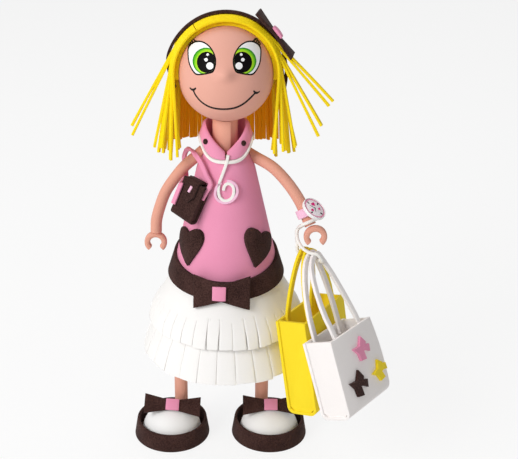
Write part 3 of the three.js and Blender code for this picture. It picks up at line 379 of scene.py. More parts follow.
def foam_sheet_group():
    """Fine closed cells and slight clouding of a foam sheet."""
    group = bpy.data.node_groups.new("foam_sheet", "ShaderNodeTree")
    for name, kind, value in (("Colour", "NodeSocketColor", (0.8, 0.8, 0.8, 1)),
                              ("Shadow colour", "NodeSocketColor", (0.6, 0.6, 0.6, 1)),
                              ("Clouding", "NodeSocketFloat", 0.3),
                              ("Cell size", "NodeSocketFloat", 0.0005),
                              ("Roughness", "NodeSocketFloat", 0.8)):
        socket = group.interface.new_socket(name=name, in_out="INPUT", socket_type=kind)
        socket.default_value = value
    for name, kind in (("Colour", "NodeSocketColor"), ("Roughness", "NodeSocketFloat"),
                       ("Height", "NodeSocketFloat")):
        group.interface.new_socket(name=name, in_out="OUTPUT", socket_type=kind)
    come = placed(group, "NodeGroupInput").outputs
    place = placed(group, "ShaderNodeTexCoord").outputs["Object"]
    fineness = counted(group, "DIVIDE", 1.0, come["Cell size"])
    cells = placed(group, "ShaderNodeTexNoise", {
        "Vector": place, "Scale": fineness, "Detail": 3.0, "Roughness": 0.65}).outputs["Fac"]
    pores = placed(group, "ShaderNodeTexVoronoi", {"Vector": place, "Scale": fineness})
    clouds = placed(group, "ShaderNodeTexNoise", {"Vector": place, "Scale": 70.0, "Detail": 4.0})
    softer = counted(group, "MULTIPLY", clouds.outputs["Fac"], 0.4)
    spread = placed(group, "ShaderNodeMapRange", {
        "Value": counted(group, "ADD", cells, softer), "From Min": 0.45, "From Max": 0.95,
    }).outputs[0]
    tint = placed(group, "ShaderNodeMix", {
        "Factor": counted(group, "MULTIPLY", spread, come["Clouding"]),
        "A": come["Colour"], "B": come["Shadow colour"]}, data_type="RGBA")
    placed(group, "NodeGroupOutput", {
        "Colour": tint.outputs["Result"],
        "Roughness": counted(group, "MULTIPLY_ADD", spread, 0.12, come["Roughness"]),
        "Height": counted(group, "MULTIPLY_ADD", pores.outputs["Distance"], 0.5, cells)})
    return group


foam_group = foam_sheet_group()


def foam(name, colour, shade, clouding=0.35, cell=0.55, rough=0.72, bump=0.25, sheen=0.1,
         shine=0.3):
    """A foam sheet: matte, fine-celled, a little clouded."""
    material = bpy.data.materials.new(name)
    material.use_nodes = True
    tree = material.node_tree
    shader = tree.nodes["Principled BSDF"]
    sheet = placed(tree, "ShaderNodeGroup", {
        "Colour": linear(colour), "Shadow colour": linear(shade), "Clouding": clouding,
        "Cell size": cell * MM, "Roughness": rough}, node_tree=foam_group)
    relief = placed(tree, "ShaderNodeBump", {
        "Strength": bump, "Distance": 0.1 * MM, "Height": sheet.outputs["Height"]})
    tree.links.new(relief.outputs["Normal"], shader.inputs["Normal"])
    tree.links.new(sheet.outputs["Colour"], shader.inputs["Base Color"])
    tree.links.new(sheet.outputs["Roughness"], shader.inputs["Roughness"])
    shader.inputs["Specular IOR Level"].default_value = shine
    shader.inputs["Sheen Weight"].default_value = sheen
    shader.inputs["Sheen Roughness"].default_value = 0.5
    return material


skin = foam("skin_foam", (232, 168, 146), (214, 140, 118), 0.3, 0.5, 0.6, 0.12, 0.1)
face_skin = foam("face_foam", (235, 174, 156), (220, 150, 130), 0.25, 0.5, 0.5, 0.06, 0.05)
pink = foam("pink_foam", (241, 156, 188), (228, 126, 164), 0.3, 0.5)
pale_pink = foam("pale_pink_foam", (250, 200, 225), (240, 172, 205), 0.25, 0.5)
brown = foam("brown_foam", (84, 57, 52), (30, 13, 11), 1.0, 0.85, 0.85, 0.5, 0.06, 0.14)
white = foam("white_foam", (252, 247, 245), (240, 234, 231), 0.3, 0.55, 0.8, 0.22)
skirt_white = foam("skirt_foam", (252, 250, 248), (243, 240, 235), 0.3, 0.55, 0.85, 0.2, 0.05)
yellow = foam("yellow_foam", (252, 226, 30), (240, 196, 10), 0.25, 0.5, 0.65, 0.2)
hair = foam("hair_foam", (254, 226, 22), (250, 204, 2), 0.25, 0.5, 0.42, 0.03, 0, 0.14)
# Painted shade: an amber, shaded copy of the hair foam, for the back strips' faces that turn in
# towards the neck.
hair_painted_shade = foam("hair_foam_painted_shade", (255, 184, 4), (254, 156, 0), 0.35, 0.5, 0.6, 0.05, 0, 0.1)
dial_pink = foam("dial_pink", (255, 248, 252), (255, 232, 243), 0.25, 0.5, 0.6, 0.05, 0, 0.1)
toe_white = foam("toe_foam", (252, 251, 250), (240, 238, 236), 0.25, 0.5, 0.55, 0.1)
strip_white = foam("strip_foam", (250, 248, 243), (236, 232, 224), 0.3, 0.45, 0.6, 0.2)
styrene = foam("polystyrene", (238, 238, 238), (215, 215, 215), 0.5, 2.6, 0.7, 0.8)
wood = foam("dowel_wood", (205, 165, 110), (160, 118, 70), 0.8, 0.9, 0.6, 0.3)
print_white = foam("eye_white", (252, 252, 252), (242, 242, 244), 0.2, 0.4, 0.32, 0.03, 0)
print_black = foam("eye_black", (12, 8, 10), (4, 3, 4), 0.4, 0.4, 0.5, 0.03, 0, 0.08)
line_black = foam("pen_black", (20, 12, 12), (8, 5, 5), 0.4, 0.4, 0.5, 0.03, 0)
green_dark = foam("eye_green_dark", (48, 150, 22), (34, 120, 16), 0.3, 0.4, 0.32, 0.03, 0)
watch_white = foam("watch_white", (246, 246, 246), (230, 230, 232), 0.2, 0.5, 0.3, 0.05, 0)
magenta = foam("print_magenta", (236, 20, 130), (214, 10, 110), 0.3, 0.4, 0.35, 0.03, 0)
ink_grey = foam("print_grey", (90, 90, 96), (70, 70, 76), 0.3, 0.4, 0.35, 0.03, 0)


def ringed(name, centre, stops, radius):
    """A print whose colour changes with the distance from its centre."""
    material = foam(name, (255, 255, 255), (240, 240, 240), 0.2, 0.4, 0.32, 0.03, 0)
    tree = material.node_tree
    shift = placed(tree, "ShaderNodeMapping", {
        "Vector": placed(tree, "ShaderNodeTexCoord").outputs["Object"],
        "Location": -Vector(at(centre)) / (radius * MM), "Scale": (1 / (radius * MM),) * 3})
    globe = placed(tree, "ShaderNodeTexGradient", {"Vector": shift.outputs["Vector"]},
                   gradient_type="SPHERICAL")
    ramp = placed(tree, "ShaderNodeValToRGB", {"Fac": globe.outputs["Fac"]})
    keys = ramp.color_ramp.elements
    while len(keys) < len(stops):
        keys.new(0.5)
    for key, (where, colour) in zip(keys, stops):
        key.position = where
        key.color = linear(colour)
    tree.links.new(ramp.outputs["Color"], tree.nodes["Principled BSDF"].inputs["Base Color"])
    return material


# ---------------------------------------------------------------- shoes and legs

def make_shoes():
    for side, shoe_x, leg_x in (("right", RIGHT_SHOE, RIGHT_LEG), ("left", LEFT_SHOE, LEFT_LEG)):
        tray = turned(f"{side}_shoe_tray_foam",
                      [(0, 0), (28.5, 0), (26.3, 13.3), (24.3, 13.3), (26.1, FOAM), (0, FOAM)],
                      shoe_x)
        rounded(tray, 0.5, 3)
        dressed(tray, brown, "figure", [f"{side}_shoe_tray"])
        toe = sphere(f"{side}_shoe_toe_foam", 64, 32)
        toe.data.transform(Matrix.Translation(at((shoe_x, -3, 2.3)))
                           @ Matrix.Diagonal((22.6 * MM, 20.5 * MM, 24 * MM, 1)))
        for spot, way in (((shoe_x, 0, 2.4), (0, 0, -1)), ((shoe_x, 3.5, 0), (0, 1, 0))):
            sliced(toe, at(spot), way)
        leg_room = turned("leg_room", [(0, -5), (5.25, -5), (5.25, 60), (0, 60)], leg_x,
                          LEG_BACK, 48)
        cut(toe, leg_room)
        rounded(toe, 0.5, 2, 50)
        dressed(toe, toe_white, "figure", [f"{side}_shoe_toe"], 50)
        for piece_name, material in (("bow", brown), ("knot", pink)):
            node = f"{side}_shoe_{piece_name}"
            obj = polished(f"{node}_foam", node, 0.35)
            obj.data.transform(Matrix.Translation(Vector((0.8, 1.0, 1.0)) * MM))
            dressed(obj, material, "figure",
                    [node])
        leg = turned(f"{side}_leg_foam", [(2.3, 2.3), (4.9, 2.3), (4.9, 117.7), (2.3, 117.7)],
                     leg_x, LEG_BACK, 48)
        rounded(leg, 0.3)
        dressed(leg, skin, "figure", [f"{side}_leg"])


# ---------------------------------------------------------------- skirt, blouse and belt

def cone_radius(height):
    return CONE_BOTTOM + (CONE_SHOULDER - CONE_BOTTOM) * (height - HIP) / (SHOULDER - HIP)


def covering(height):
    """The radius of a sheet laid on the cone, over all."""
    return cone_radius(height) + SEAT + FOAM


def tier(name, node, shares, top_rise, hem_radius, hem, strips, slit, seed, open_slits=()):
    """A flared sheet slit into strips, each hanging a little its own way."""
    chance = random.Random(seed)
    top = HIP + top_rise
    inner_top = cone_radius(top) + SEAT
    knots = [Vector((inner_top + (hem_radius - FOAM - inner_top) * out, 0,
                     top + (hem - top) * down)) for out, down in shares]
    path = spline(knots, density=8)
    columns = 6
    faces, points, index = [], [], {}

    def looseness(row):
        return min(max((hem + slit - path[row].z) / slit, 0), 1)

    def key_at(row, strip, column):
        whole = looseness(row) <= 0
        return (row, (strip * columns + column) % (strips * columns)) if whole else (
            row, strip, column)

    turn = 2 * math.pi / strips
    for k in range(strips):
        push = chance.uniform(0, 0.8)
        twist = chance.uniform(-0.5, 0.5)
        drop = chance.uniform(-0.7, 0.7)
        gap = (chance.uniform(0.08, 0.3) if k not in open_slits else 2.2) / hem_radius
        for row, spot in enumerate(path):
            loose = looseness(row)
            for c in range(columns + 1):
                share = c / columns
                angle = (k + 0.5 + share) * turn
                if loose > 0:
                    angle = (k + 0.5) * turn + gap * loose / 2 + (turn - gap * loose) * share
                radius = spot.x + loose ** 1.5 * (push + twist * (2 * share - 1))
                key = key_at(row, k, c)
                if key not in index:
                    index[key] = len(points)
                    points += around(angle, [(radius, spot.z + loose ** 2 * drop)])
        for row in range(len(path) - 1):
            for c in range(columns):
                faces.append(tuple(index[key_at(r, k, d)] for r, d in (
                    (row, c), (row, c + 1), (row + 1, c + 1), (row + 1, c))))
    obj = meshed(name, points, faces)
    editing(obj)
    bpy.ops.mesh.normals_make_consistent(inside=False)
    bpy.ops.object.mode_set(mode="OBJECT")
    middle = obj.data.polygons[0]
    outward = Vector(middle.normal).dot(Vector(middle.center) - axis - Vector((0, 0, 0.1)))
    if outward < 0:
        obj.data.flip_normals()
    applied(obj, "SOLIDIFY", thickness=FOAM * MM, offset=1.0, use_even_offset=True)
    rounded(obj, 0.4, 2, 50)
    return dressed(obj, skirt_white, "figure", [node])


def make_skirt():
    tier("skirt_upper_tier_foam", "skirt_upper_tier",
         [(0, 0), (0.09, 0.15), (0.45, 0.47), (0.88, 0.8), (1, 1)], 24.4, 55.5, 104, 36, 16, 3,
         (1, 34))
    tier("skirt_lower_tier_foam", "skirt_lower_tier",
         [(0, 0), (0.36, 0.32), (0.76, 0.7), (1, 1)], 2.6, 60, 79, 27, 26, 5)


def make_blouse():
    hem = HIP + 26
    profile = [(covering(hem), hem), (covering(HIP + 60), HIP + 60),
               (covering(SHOULDER - 3), SHOULDER - 3), (19.4, SHOULDER), (18.2, SHOULDER + 3.4),
               (15.0, 231), (13.0, 231), (17.6, SHOULDER), (cone_radius(hem) + SEAT, hem)]
    blouse = turned("blouse_foam", profile)
    rounded(blouse, 0.5, 2, 20)
    dressed(blouse, pink, "figure", ["blouse"])
    for side in ("right", "left"):
        heart = polished(f"{side}_heart_foam", f"{side}_heart_pocket", 0.45)
        middle = middle_of(f"{side}_heart_pocket")
        facing_turn = math.atan2(middle.x, -middle.y)
        lean = math.radians(9 if side == "right" else -10)
        round_middle = covering(middle.z) + 1
        for vertex in heart.data.vertices:
            point = (Vector(vertex.co) - axis) / MM
            lift = math.hypot(point.x, point.y) - covering(point.z)
            across = (math.atan2(point.x, -point.y) - facing_turn) * round_middle
            up = (point.z - middle.z) * 1.025
            turned_up = across * math.sin(lean) + up * math.cos(lean)
            angle = facing_turn + (across * math.cos(lean) - up * math.sin(lean)) / round_middle
            height = middle.z + turned_up / 1.025
            reach = covering(height) + lift
            vertex.co = at(around(angle, [(reach, height)])[0])
        dressed(heart, brown, "figure", [f"{side}_heart_pocket"])


def make_belt():
    rows = []
    for angle in full_turn(120):
        back = -math.cos(angle) * CONE_BOTTOM
        high_edge = HIP + 37 + 0.17 * back
        low_edge = HIP + 21.2 + 0.085 * back
        outer = covering(low_edge) + SEAT + 1
        inner = covering(high_edge) + SEAT
        section = [(outer, low_edge), (outer + 1.6, low_edge), (outer + 2, low_edge + 0.4),
                   (inner + 2, high_edge - 0.4), (inner + 1.6, high_edge), (inner, high_edge)]
        rows.append(around(angle, section))
    belt = lofted("belt_foam", rows, closed=True)
    dressed(belt, brown, "figure", ["belt"])
    bow = polished("belt_bow_foam", "belt_bow", 0.4)
    dressed(moved(bow, spin(-4.3, "Z")), brown, "figure", ["belt_bow"])
    knot = polished("belt_bow_knot_foam", "belt_bow_knot", 0.4)
    moved(knot, Matrix.Diagonal((0.88, 1, 0.88)), middle_of("belt_bow_knot"))
    dressed(moved(knot, spin(-6.2, "Z")), pink, "figure", ["belt_bow_knot"])


# ---------------------------------------------------------------- neck, collar and pendant

def smooth(share):
    held = min(max(share, 0), 1)
    return held * held * (3 - 2 * held)


def collar_at(angle):
    """The collar's foot, the top of its fold and its outer edge, lowest at the front."""
    away = abs((angle + math.pi) % (2 * math.pi) - math.pi)
    rise = smooth((1 - math.cos(angle)) * 1.1)
    slope = 1 - (1 - min(away / math.radians(95), 1)) ** 1.3
    bottom = CONE_TOP + 0.8
    return bottom, bottom + 2.8 + 17.2 * slope, bottom - 1 + 12.4 * rise


def disc_stack(name, centre, face, rings, count=48):
    """A round piece from rings of (radius, height) along the way it faces."""
    face = face.normalized()
    across = Vector((0, 0, 1)).cross(face).normalized()
    above = face.cross(across)
    return lofted(name, [[centre + across * r * math.cos(a) + above * r * math.sin(a) + face * h
                          for a in full_turn(count)]
                         for r, h in rings])


def make_collar():
    rows = []
    steps = 120
    gape = math.radians(3)
    for k in range(steps + 1):
        angle = gape + (2 * math.pi - 2 * gape) * k / steps
        bottom, top, flap = collar_at(angle)
        section = [(13.2, bottom), (14.2, bottom), (14.2, top - 2), (14.7, top - 2.4),
                   (16.2, flap + 0.2), (17.8, flap), (18.0, flap + 0.5), (15.7, top - 0.8),
                   (14.8, top - 0.1), (13.8, top), (13.3, top - 0.6)]
        rows.append(around(angle, section))
    dressed(lofted("collar_foam", rows), pink, "figure", ["collar"], 50)
    for side, angle, share in (("right", -54, 0.5), ("left", 45, 0.34)):
        node = f"{side}_collar_button"
        turn = math.radians(angle)
        _, top, flap = collar_at(turn)
        inner, outer = Vector((15.7, top - 0.8)), Vector((18.0, flap + 0.5))
        spot = inner + (outer - inner) * share
        slant = (outer - inner).normalized()
        out = Vector((math.sin(turn) * -slant.y, math.cos(turn) * slant.y, slant.x)).normalized()
        place = Vector(around(turn, [spot])[0])
        dressed(disc_stack(f"{node}_foam", place, out,
                           [(1.6, -0.5), (1.9, 0.0), (1.9, 0.7), (1.6, 1.1), (0.8, 1.3)], 32),
                brown, "figure", [node])
    rows = []
    for angle in full_turn(steps):
        flap = collar_at(angle)[2]
        low_edge = flap - 1.6 - 1.2
        section = [(17.0, low_edge), (18.6, low_edge), (19.0, low_edge + 0.4),
                   (19.0, low_edge + 2.0), (18.6, low_edge + 2.4), (17.0, low_edge + 2.4)]
        rows.append(around(angle, section))
    dressed(lofted("necklace_strip", rows, closed=True), strip_white, "figure",
            ["necklace"])


def make_neck():
    growth = 2.3 / (2 * math.pi)
    inner = 9.7 - 4 - 0.3
    start = math.radians(-6)
    reach = 2 * math.pi + math.radians(26)
    rows = []
    for k in range(97):
        angle = start + reach * k / 96
        radius = inner + growth * (angle - start)

        def under(out):
            return HEAD_HEIGHT - math.sqrt(HEAD_RADIUS ** 2 - out ** 2) - 0.3

        section = [(radius, 230.8), (radius + 2, 230.8), (radius + 2, under(radius + 2)),
                   (radius, under(radius))]
        rows.append(around(angle, section))
    neck = lofted("neck_foam", rows)
    rounded(neck, 0.3, 2)
    dressed(neck, skin, "figure", ["neck_wrap"])


def make_pendant():
    flap = collar_at(0)[2]
    turned_back = Euler((math.radians(-12.5), 0, 0)).to_matrix()
    home = Vector((0, -(18 - 1 + 2 + 0.3), flap))
    shares = [(0.28, 5), (0.16, 4.3), (-0.1, 3.4), (-0.5, 2.3), (-0.86, 1.3), (-1.02, 0.3),
              (-0.86, -0.66), (-0.4, -1.14), (0.16, -1.2), (0.74, -0.86), (1.04, -0.14),
              (0.98, 0.62), (0.62, 1.06), (0.16, 1.12), (-0.2, 0.76), (-0.34, 0.2)]
    drop = 26 * 0.82
    flat = [Vector((x * 5, 0, z * 5 - drop)) for x, z in shares]
    aside = turned_back @ Vector((0, 1, 0))
    line = [home + turned_back @ (p + Vector((0, 1.5, 0))) for p in spline(flat, density=6)]
    strand = ribbon("pendant_strip", line, aside, 3.0, 2.0)
    dressed(strand, strip_white, "pendant", ["pendant"])
    outer = []
    for k in range(61):
        angle = math.radians(118 + 330 * k / 60)
        reach = 7.5 + 0.4 * math.sin(angle * 2)
        outer.append(home + turned_back @ Vector((reach * math.cos(angle) + 0.2, 1.5,
                                                  reach * math.sin(angle) - drop)))
    backing = ribbon("pendant_pink_strip", outer, aside, 3.0, 1.8)
    dressed(backing, pale_pink, "pendant")


# ---------------------------------------------------------------- head and face

def facing(turn, lift):
    turn, lift = math.radians(turn), math.radians(lift)
    return Vector((math.sin(turn) * math.cos(lift), -math.cos(turn) * math.cos(lift),
                   math.sin(lift)))


nose_way = facing(-1.0, 14.0)


def skin_reach(way):
    """The distance of the face's surface from the head's centre, with the nose on it."""
    across = Vector((0, 0, 1)).cross(nose_way).normalized()
    above = nose_way.cross(across)
    a = way.dot(across) * HEAD_RADIUS / 4.7
    b = way.dot(above) * HEAD_RADIUS / 3.1
    if way.dot(nose_way) < 0.5:
        return HEAD_RADIUS
    return HEAD_RADIUS + 3.8 * math.exp(-(a * a + b * b) * 0.75)


def ball(name, radius):
    obj = sphere(name, 96, 64, radius * MM)
    obj.data.transform(Matrix.Translation(at(head_centre)))
    return obj


def make_head():
    face = sphere("face_skin_foam", 160, 110, HEAD_RADIUS * MM, rotation=(math.pi / 2, 0, 0))
    bpy.ops.object.transform_apply(location=True, rotation=True, scale=True)
    for vertex in face.data.vertices:
        way = Vector(vertex.co).normalized()
        vertex.co = way * skin_reach(way) * MM
    face.data.transform(Matrix.Translation(at(head_centre)))
    way = Matrix.Rotation(CHIN_TILT, 3, "X") @ Vector((0, 1, 0))
    back = HEAD_RADIUS * -math.cos(math.radians(124))
    sliced(face, at(head_centre + way * back), way)
    cut(face, ball("head_room", CORE_ROOM))
    dressed(face, face_skin, "head", ["face_skin"], 60)


def outwards(obj, way):
    """The piece with its faces turned the way it looks."""
    if Vector(obj.data.polygons[0].normal).dot(way) < 0:
        obj.data.flip_normals()
    return obj


def mean(spots):
    return sum(p[0] for p in spots) / len(spots), sum(p[1] for p in spots) / len(spots)


def printed(name, outline, lift, material, stands_for):
    """A flat print laid on the ball: an outline in degrees (turn, lift) about the head."""
    rings = 8
    middle = mean(outline)
    points = [head_centre + facing(*middle) * (HEAD_RADIUS + lift)]
    count = len(outline)
    for ring in range(1, rings + 1):
        share = ring / rings
        for x, z in outline:
            way = facing(middle[0] + (x - middle[0]) * share, middle[1] + (z - middle[1]) * share)
            points.append(head_centre + way * (skin_reach(way) + lift))
    faces = [(0, 1 + j, 1 + (j + 1) % count) for j in range(count)]
    for ring in range(rings - 1):
        here, there = 1 + ring * count, 1 + (ring + 1) * count
        for j in range(count):
            beside = (j + 1) % count
            faces.append((here + j, there + j, there + beside, here + beside))
    obj = outwards(meshed(name, points, faces), facing(*middle))
    applied(obj, "SOLIDIFY", thickness=0.12 * MM, offset=-1.0)
    return dressed(obj, material, "head", stands_for, 60)


def on_head(u, v):
    """Turn and lift, in degrees, of a spot of the face seen at a pixel of the photograph."""
    r, w = (u - AIM_PIXEL[0]) / FOCAL_PIXELS, (AIM_PIXEL[1] - v) / FOCAL_PIXELS
    level, drop = math.cos(CAMERA_DROP), math.sin(CAMERA_DROP)
    ray = Vector((r, level + w * drop, -drop + w * level))
    away = CAMERA - head_centre
    a, b, c = ray.dot(ray), 2 * away.dot(ray), away.dot(away) - HEAD_RADIUS ** 2
    t = (-b - math.sqrt(max(b * b - 4 * a * c, 0))) / (2 * a)
    way = (away + ray * t).normalized()
    return (math.degrees(math.atan2(way.x, -way.y)), math.degrees(math.asin(way.z)))


def crop(points):
    """Spots read on the head's enlargement, as turn and lift."""
    return [on_head(HEAD_CROP_LEFT + x / HEAD_CROP_SCALE, y / HEAD_CROP_SCALE) for x, y in points]


def clipped(outline, inside):
    """The points of an outline drawn in to the edge of another one."""
    centre = mean(inside)
    shape = [(x - centre[0], y - centre[1]) for x, y in inside]

    def edge(angle):
        best = 0
        ray = (math.cos(angle), math.sin(angle))
        for (ax, ay), (bx, by) in zip(shape, shape[1:] + shape[:1]):
            den = ray[0] * (by - ay) - ray[1] * (bx - ax)
            if abs(den) < 1e-9:
                continue
            t = (ax * (by - ay) - ay * (bx - ax)) / den
            s = (ax * ray[1] - ay * ray[0]) / den
            if t > 0 and 0 <= s <= 1:
                best = max(best, t)
        return best

    out = []
    for x, y in outline:
        dx, dy = x - centre[0], y - centre[1]
        reach = math.hypot(dx, dy)
        share = min(1, edge(math.atan2(dy, dx)) / reach) if reach else 1
        out.append((centre[0] + dx * share, centre[1] + dy * share))
    return out


def between(values, place):
    """A value read between those of a list."""
    low_k = min(int(place), len(values) - 2)
    return values[low_k] + (values[low_k + 1] - values[low_k]) * (place - low_k)


def stroke(name, points, widths, lift):
    """A pen line on the face through enlargement spots."""
    path = spline([Vector((x, y, 0)) for x, y in points], density=8)
    count = len(path)
    ways = [facing(*spot) for spot in crop([(p.x, p.y) for p in path])]
    left, right = [], []
    for k, way in enumerate(ways):
        step = (ways[min(k + 1, count - 1)] - ways[max(k - 1, 0)]).normalized()
        side = way.cross(step).normalized()
        width = between(widths, k / (count - 1) * (len(widths) - 1))
        reach = skin_reach(way) + lift
        left.append(head_centre + way * reach + side * width / 2)
        right.append(head_centre + way * reach - side * width / 2)
    faces = [(k, k + 1, count + k + 1, count + k) for k in range(count - 1)]
    obj = outwards(meshed(name, left + right, faces), ways[0])
    return applied(obj, "SOLIDIFY", thickness=0.1 * MM, offset=-1.0)


def make_face():
    right_outline = [(466, 330), (480, 305), (512, 285), (552, 283), (590, 300), (622, 332),
                     (643, 372), (652, 415), (646, 462), (632, 490), (600, 500), (560, 507),
                     (520, 506), (492, 475), (472, 430), (465, 380)]
    axis_x = 712.0
    drawn = spline([Vector((x, y, 0)) for x, y in right_outline], closed=True, density=4)
    outline = [(p.x, p.y) for p in drawn]
    cx, cy = mean(outline)

    def sized(share):
        return [(cx + (x - cx) * share, cy + (y - cy) * share) for x, y in outline]

    def round_spot(x, y, radius, squeeze=1.0, count=48):
        return [(x + radius * math.cos(a), y + radius * squeeze * math.sin(a))
                for a in full_turn(count)]

    shrunk = sized(0.945)
    parts = [("rim", sized(1.04), 0.10, print_black), ("white", shrunk, 0.16, print_white),
             ("iris", clipped(round_spot(587, 417, 91), shrunk), 0.22, green_dark),
             ("iris_light", clipped(round_spot(589, 419, 84), shrunk), 0.27, None),
             ("pupil", clipped(round_spot(592, 425, 66, 1.08), shrunk), 0.34, print_black),
             ("glint_large", round_spot(614, 450, 24), 0.42, print_white),
             ("glint_middle", round_spot(588, 408, 12), 0.42, print_white),
             ("glint_small", round_spot(599, 373, 9), 0.42, print_white)]
    lashes = [[(474, 316), (470, 296), (478, 284)], [(488, 306), (480, 286), (484, 274)],
              [(502, 297), (490, 276), (492, 262)], [(540, 284), (515, 280), (498, 262)]]
    for side in ("right", "left"):
        def mirror(points, side=side):
            return points if side == "right" else [(2 * axis_x - x, y) for x, y in points][::-1]

        for part, shape, lift, material in parts:
            spots = crop(mirror(shape))
            if material is None:
                spot = head_centre + facing(*crop(mirror([(589, 419)]))[0]) * (HEAD_RADIUS + lift)
                material = ringed(f"{side}_iris_green", spot,
                                  [(0.0, (96, 190, 24)), (0.12, (150, 220, 20)),
                                   (0.3, (196, 236, 40)), (1.0, (170, 225, 30))], 9.0)
            printed(f"{side}_eye_{part}", spots, lift, material,
                    [f"{side}_eye"] if part == "rim" else ())
        strokes = [stroke(f"{side}_lash_{number}", mirror(lash), [1.3, 1.1, 0.6], 0.24)
                   for number, lash in enumerate(lashes)]
        dressed(joined(f"{side}_lashes", strokes), line_black, "head")
    smile = [stroke("smile_line", [(497, 612), (520, 655), (562, 700), (622, 732), (704, 744),
                                   (786, 734), (846, 704), (894, 662), (922, 634), (931, 630)],
                    [1.2, 1.4, 1.5, 1.6, 1.6, 1.6, 1.5, 1.4, 1.2], 0.1)]
    smile += [stroke(f"smile_tick_{name}", points, [0.9, 1.5, 1.5, 0.9], 0.14)
              for name, points in (("a", [(476, 598), (490, 610), (502, 611), (518, 600)]),
                                   ("b", [(910, 618), (922, 631), (934, 633), (952, 623)]))]
    dressed(joined("smile", smile), line_black, "head")


# ---------------------------------------------------------------- hair

def make_cap():
    cap = ball("hair_cap_foam", CAP_RADIUS)
    cut(cap, ball("cap_room", CAP_ROOM))

    def half_space(front, tilt, size=300):
        box = Matrix.Rotation(tilt, 4, "X") @ Matrix.Translation((0, (-size / 2 + front) * MM, 0))
        bpy.ops.mesh.primitive_cube_add(size=size * MM)
        cube = only(bpy.context.active_object)
        cube.data.transform(Matrix.Translation(at(head_centre)) @ box)
        return cube

    cut(cap, half_space(-8.5, -FACE_TILT))
    chin = half_space(-HEAD_RADIUS * math.cos(math.radians(108)), CHIN_TILT)
    low_half = half_space(-2, math.pi / 2)
    cut(chin, low_half, "INTERSECT")
    cut(cap, chin)
    cut(cap, turned("neck_room", [(0, 200), (11.7, 200), (11.7, 285), (0, 285)], steps=48))
    rounded(cap, 0.4, 2, 50)
    dressed(cap, hair, "head", ["hair_cap"], 50)


def strand_path(place, side, start, flare, length, lean, radius, home, curl):
    """The path of a strip of hair over the head and down to its end."""
    plane = radius * math.sin(place / radius)
    reach = math.sqrt(radius ** 2 - plane ** 2)
    leave = side * (math.pi / 2 - flare)
    rows = []
    for k in range(17):
        angle = start + (leave - start) * k / 16
        point = home(reach * math.sin(angle), plane, reach * math.cos(angle))
        rows.append((point, point.normalized()))
    last, out = rows[-1]
    fall = home(side * math.sin(flare), lean, -math.cos(flare))
    for k in range(1, 9):
        share = k / 8
        sag = Vector((0, 0, -1)) * 0.03 * length * share * share
        rows.append((last + fall * length * share + sag + out * curl * share * share, out))
    return rows


def hair_strip(name, rows, twist):
    """A strip that lies flat on its path, wider at its root."""
    width, thickness, root = 2.8, 1.8, 3.6
    loops = []
    for k, (point, out) in enumerate(rows):
        before, after = rows[max(k - 1, 0)][0], rows[min(k + 1, len(rows) - 1)][0]
        way = (after - before).normalized()
        thick = (out - out.dot(way) * way).normalized()
        wide = way.cross(thick)
        turn = Matrix.Rotation(twist * max(0, (k - 16) / 8), 3, way)
        thick, wide = turn @ thick, turn @ wide
        spread = root if k == 0 else width + (root - width) * max(0, 1 - k / 5) ** 2
        loops.append([head_centre + point + wide * a + thick * b
                      for a, b in strip_section(spread / 2, thickness / 2, 0.35)])
    return lofted(name, loops)


def spread(values, count):
    return [between(values, k * (len(values) - 1) / (count - 1)) for k in range(count)]


def curtain(name, node, rows, side, radius, start, home, seed, twist=0.5, layer=0.0):
    """A curtain of strips, each with its own small twist and end."""
    chance = random.Random(seed)
    strips = []
    for number, (place, flare, share, lean) in enumerate(rows):
        path = strand_path(place, side, start, math.radians(flare + chance.uniform(-0.8, 0.8)),
                           HAIR_LENGTH * share + chance.uniform(-1.4, 0.6), lean,
                           radius + layer * number, home, chance.uniform(-0.6, 0.6))
        strips.append(hair_strip(f"{name}_{number}", path, chance.uniform(-twist, twist)))
    return dressed(joined(name, strips), hair, "head", [node], 40)


def make_hair():
    make_cap()
    tilt = Matrix.Rotation(-FACE_TILT, 3, "X")

    def sideways(x, y, z):
        return tilt @ Vector((x, y, z))

    def backways(x, y, z):
        return Vector((y, x, z))

    pitch = 3.05
    halves = (
        ("left", 1, math.radians(-33.6),
         [(-3, 0.82), (4, 0.87), (12, 0.92), (28, 1.02), (31, 0.98), (43, 1.0), (47, 1.03)],
         [6, 10, 3, -6, 1, 8, 13, 8, 3],
         [0.95, 0.98, 0.9, 0.78, 0.82, 0.92, 0.98, 0.95, 0.98]),
        ("right", -1, math.radians(-34.4),
         [(-2, 0.86), (3, 0.96), (8, 0.9), (13, 0.94), (10, 0.9), (27, 1.02), (30, 0.97)],
         [5, 9, 2, -6, 1, 7, 11, 6, 3],
         [0.92, 0.96, 0.88, 0.77, 0.8, 0.93, 0.95, 1, 0.92]))
    for side, sign, start, fringe, _, _ in halves:
        curtain(f"fringe_{side}_hair", f"fringe_{side}",
                [(-11.8 + k * 0.8, flare, share, 0.2 if flare < 15 else 0.04)
                 for k, (flare, share) in enumerate(fringe)],
                sign, CURTAIN - 0.4, start, sideways, 12 - sign, 0.5, 0.22)
    for side, sign, start, _, flares, shares in halves:
        curtain(f"hair_{side}_strips", f"hair_{side}",
                [(-4.3 + k * pitch, flare, share, 0.2)
                 for k, (flare, share) in enumerate(zip(flares, shares))],
                sign, CURTAIN, start, sideways, 21 + sign)
    rows = [((k - 13) * pitch, f, s, lean) for k, (f, s, lean) in enumerate(
        zip(spread([3, 5, 3], 27), spread([0.9, 0.98, 0.92, 1, 0.9], 27),
            spread([-0.05, 0, 0.05], 27)))]
    back = curtain("hair_back_strips", "hair_back", rows, 1, BACK_CURTAIN, math.radians(20),
                   backways, 31, 0.2)
    # Painted shade: the back strips' faces that turn forward, below the head's centre, take the
    # amber shaded copy of the hair colour.
    back.data.materials.append(hair_painted_shade)
    for face in back.data.polygons:
        if face.normal.y < -0.3 and face.center.z < at(head_centre).z:
            face.material_index = 1


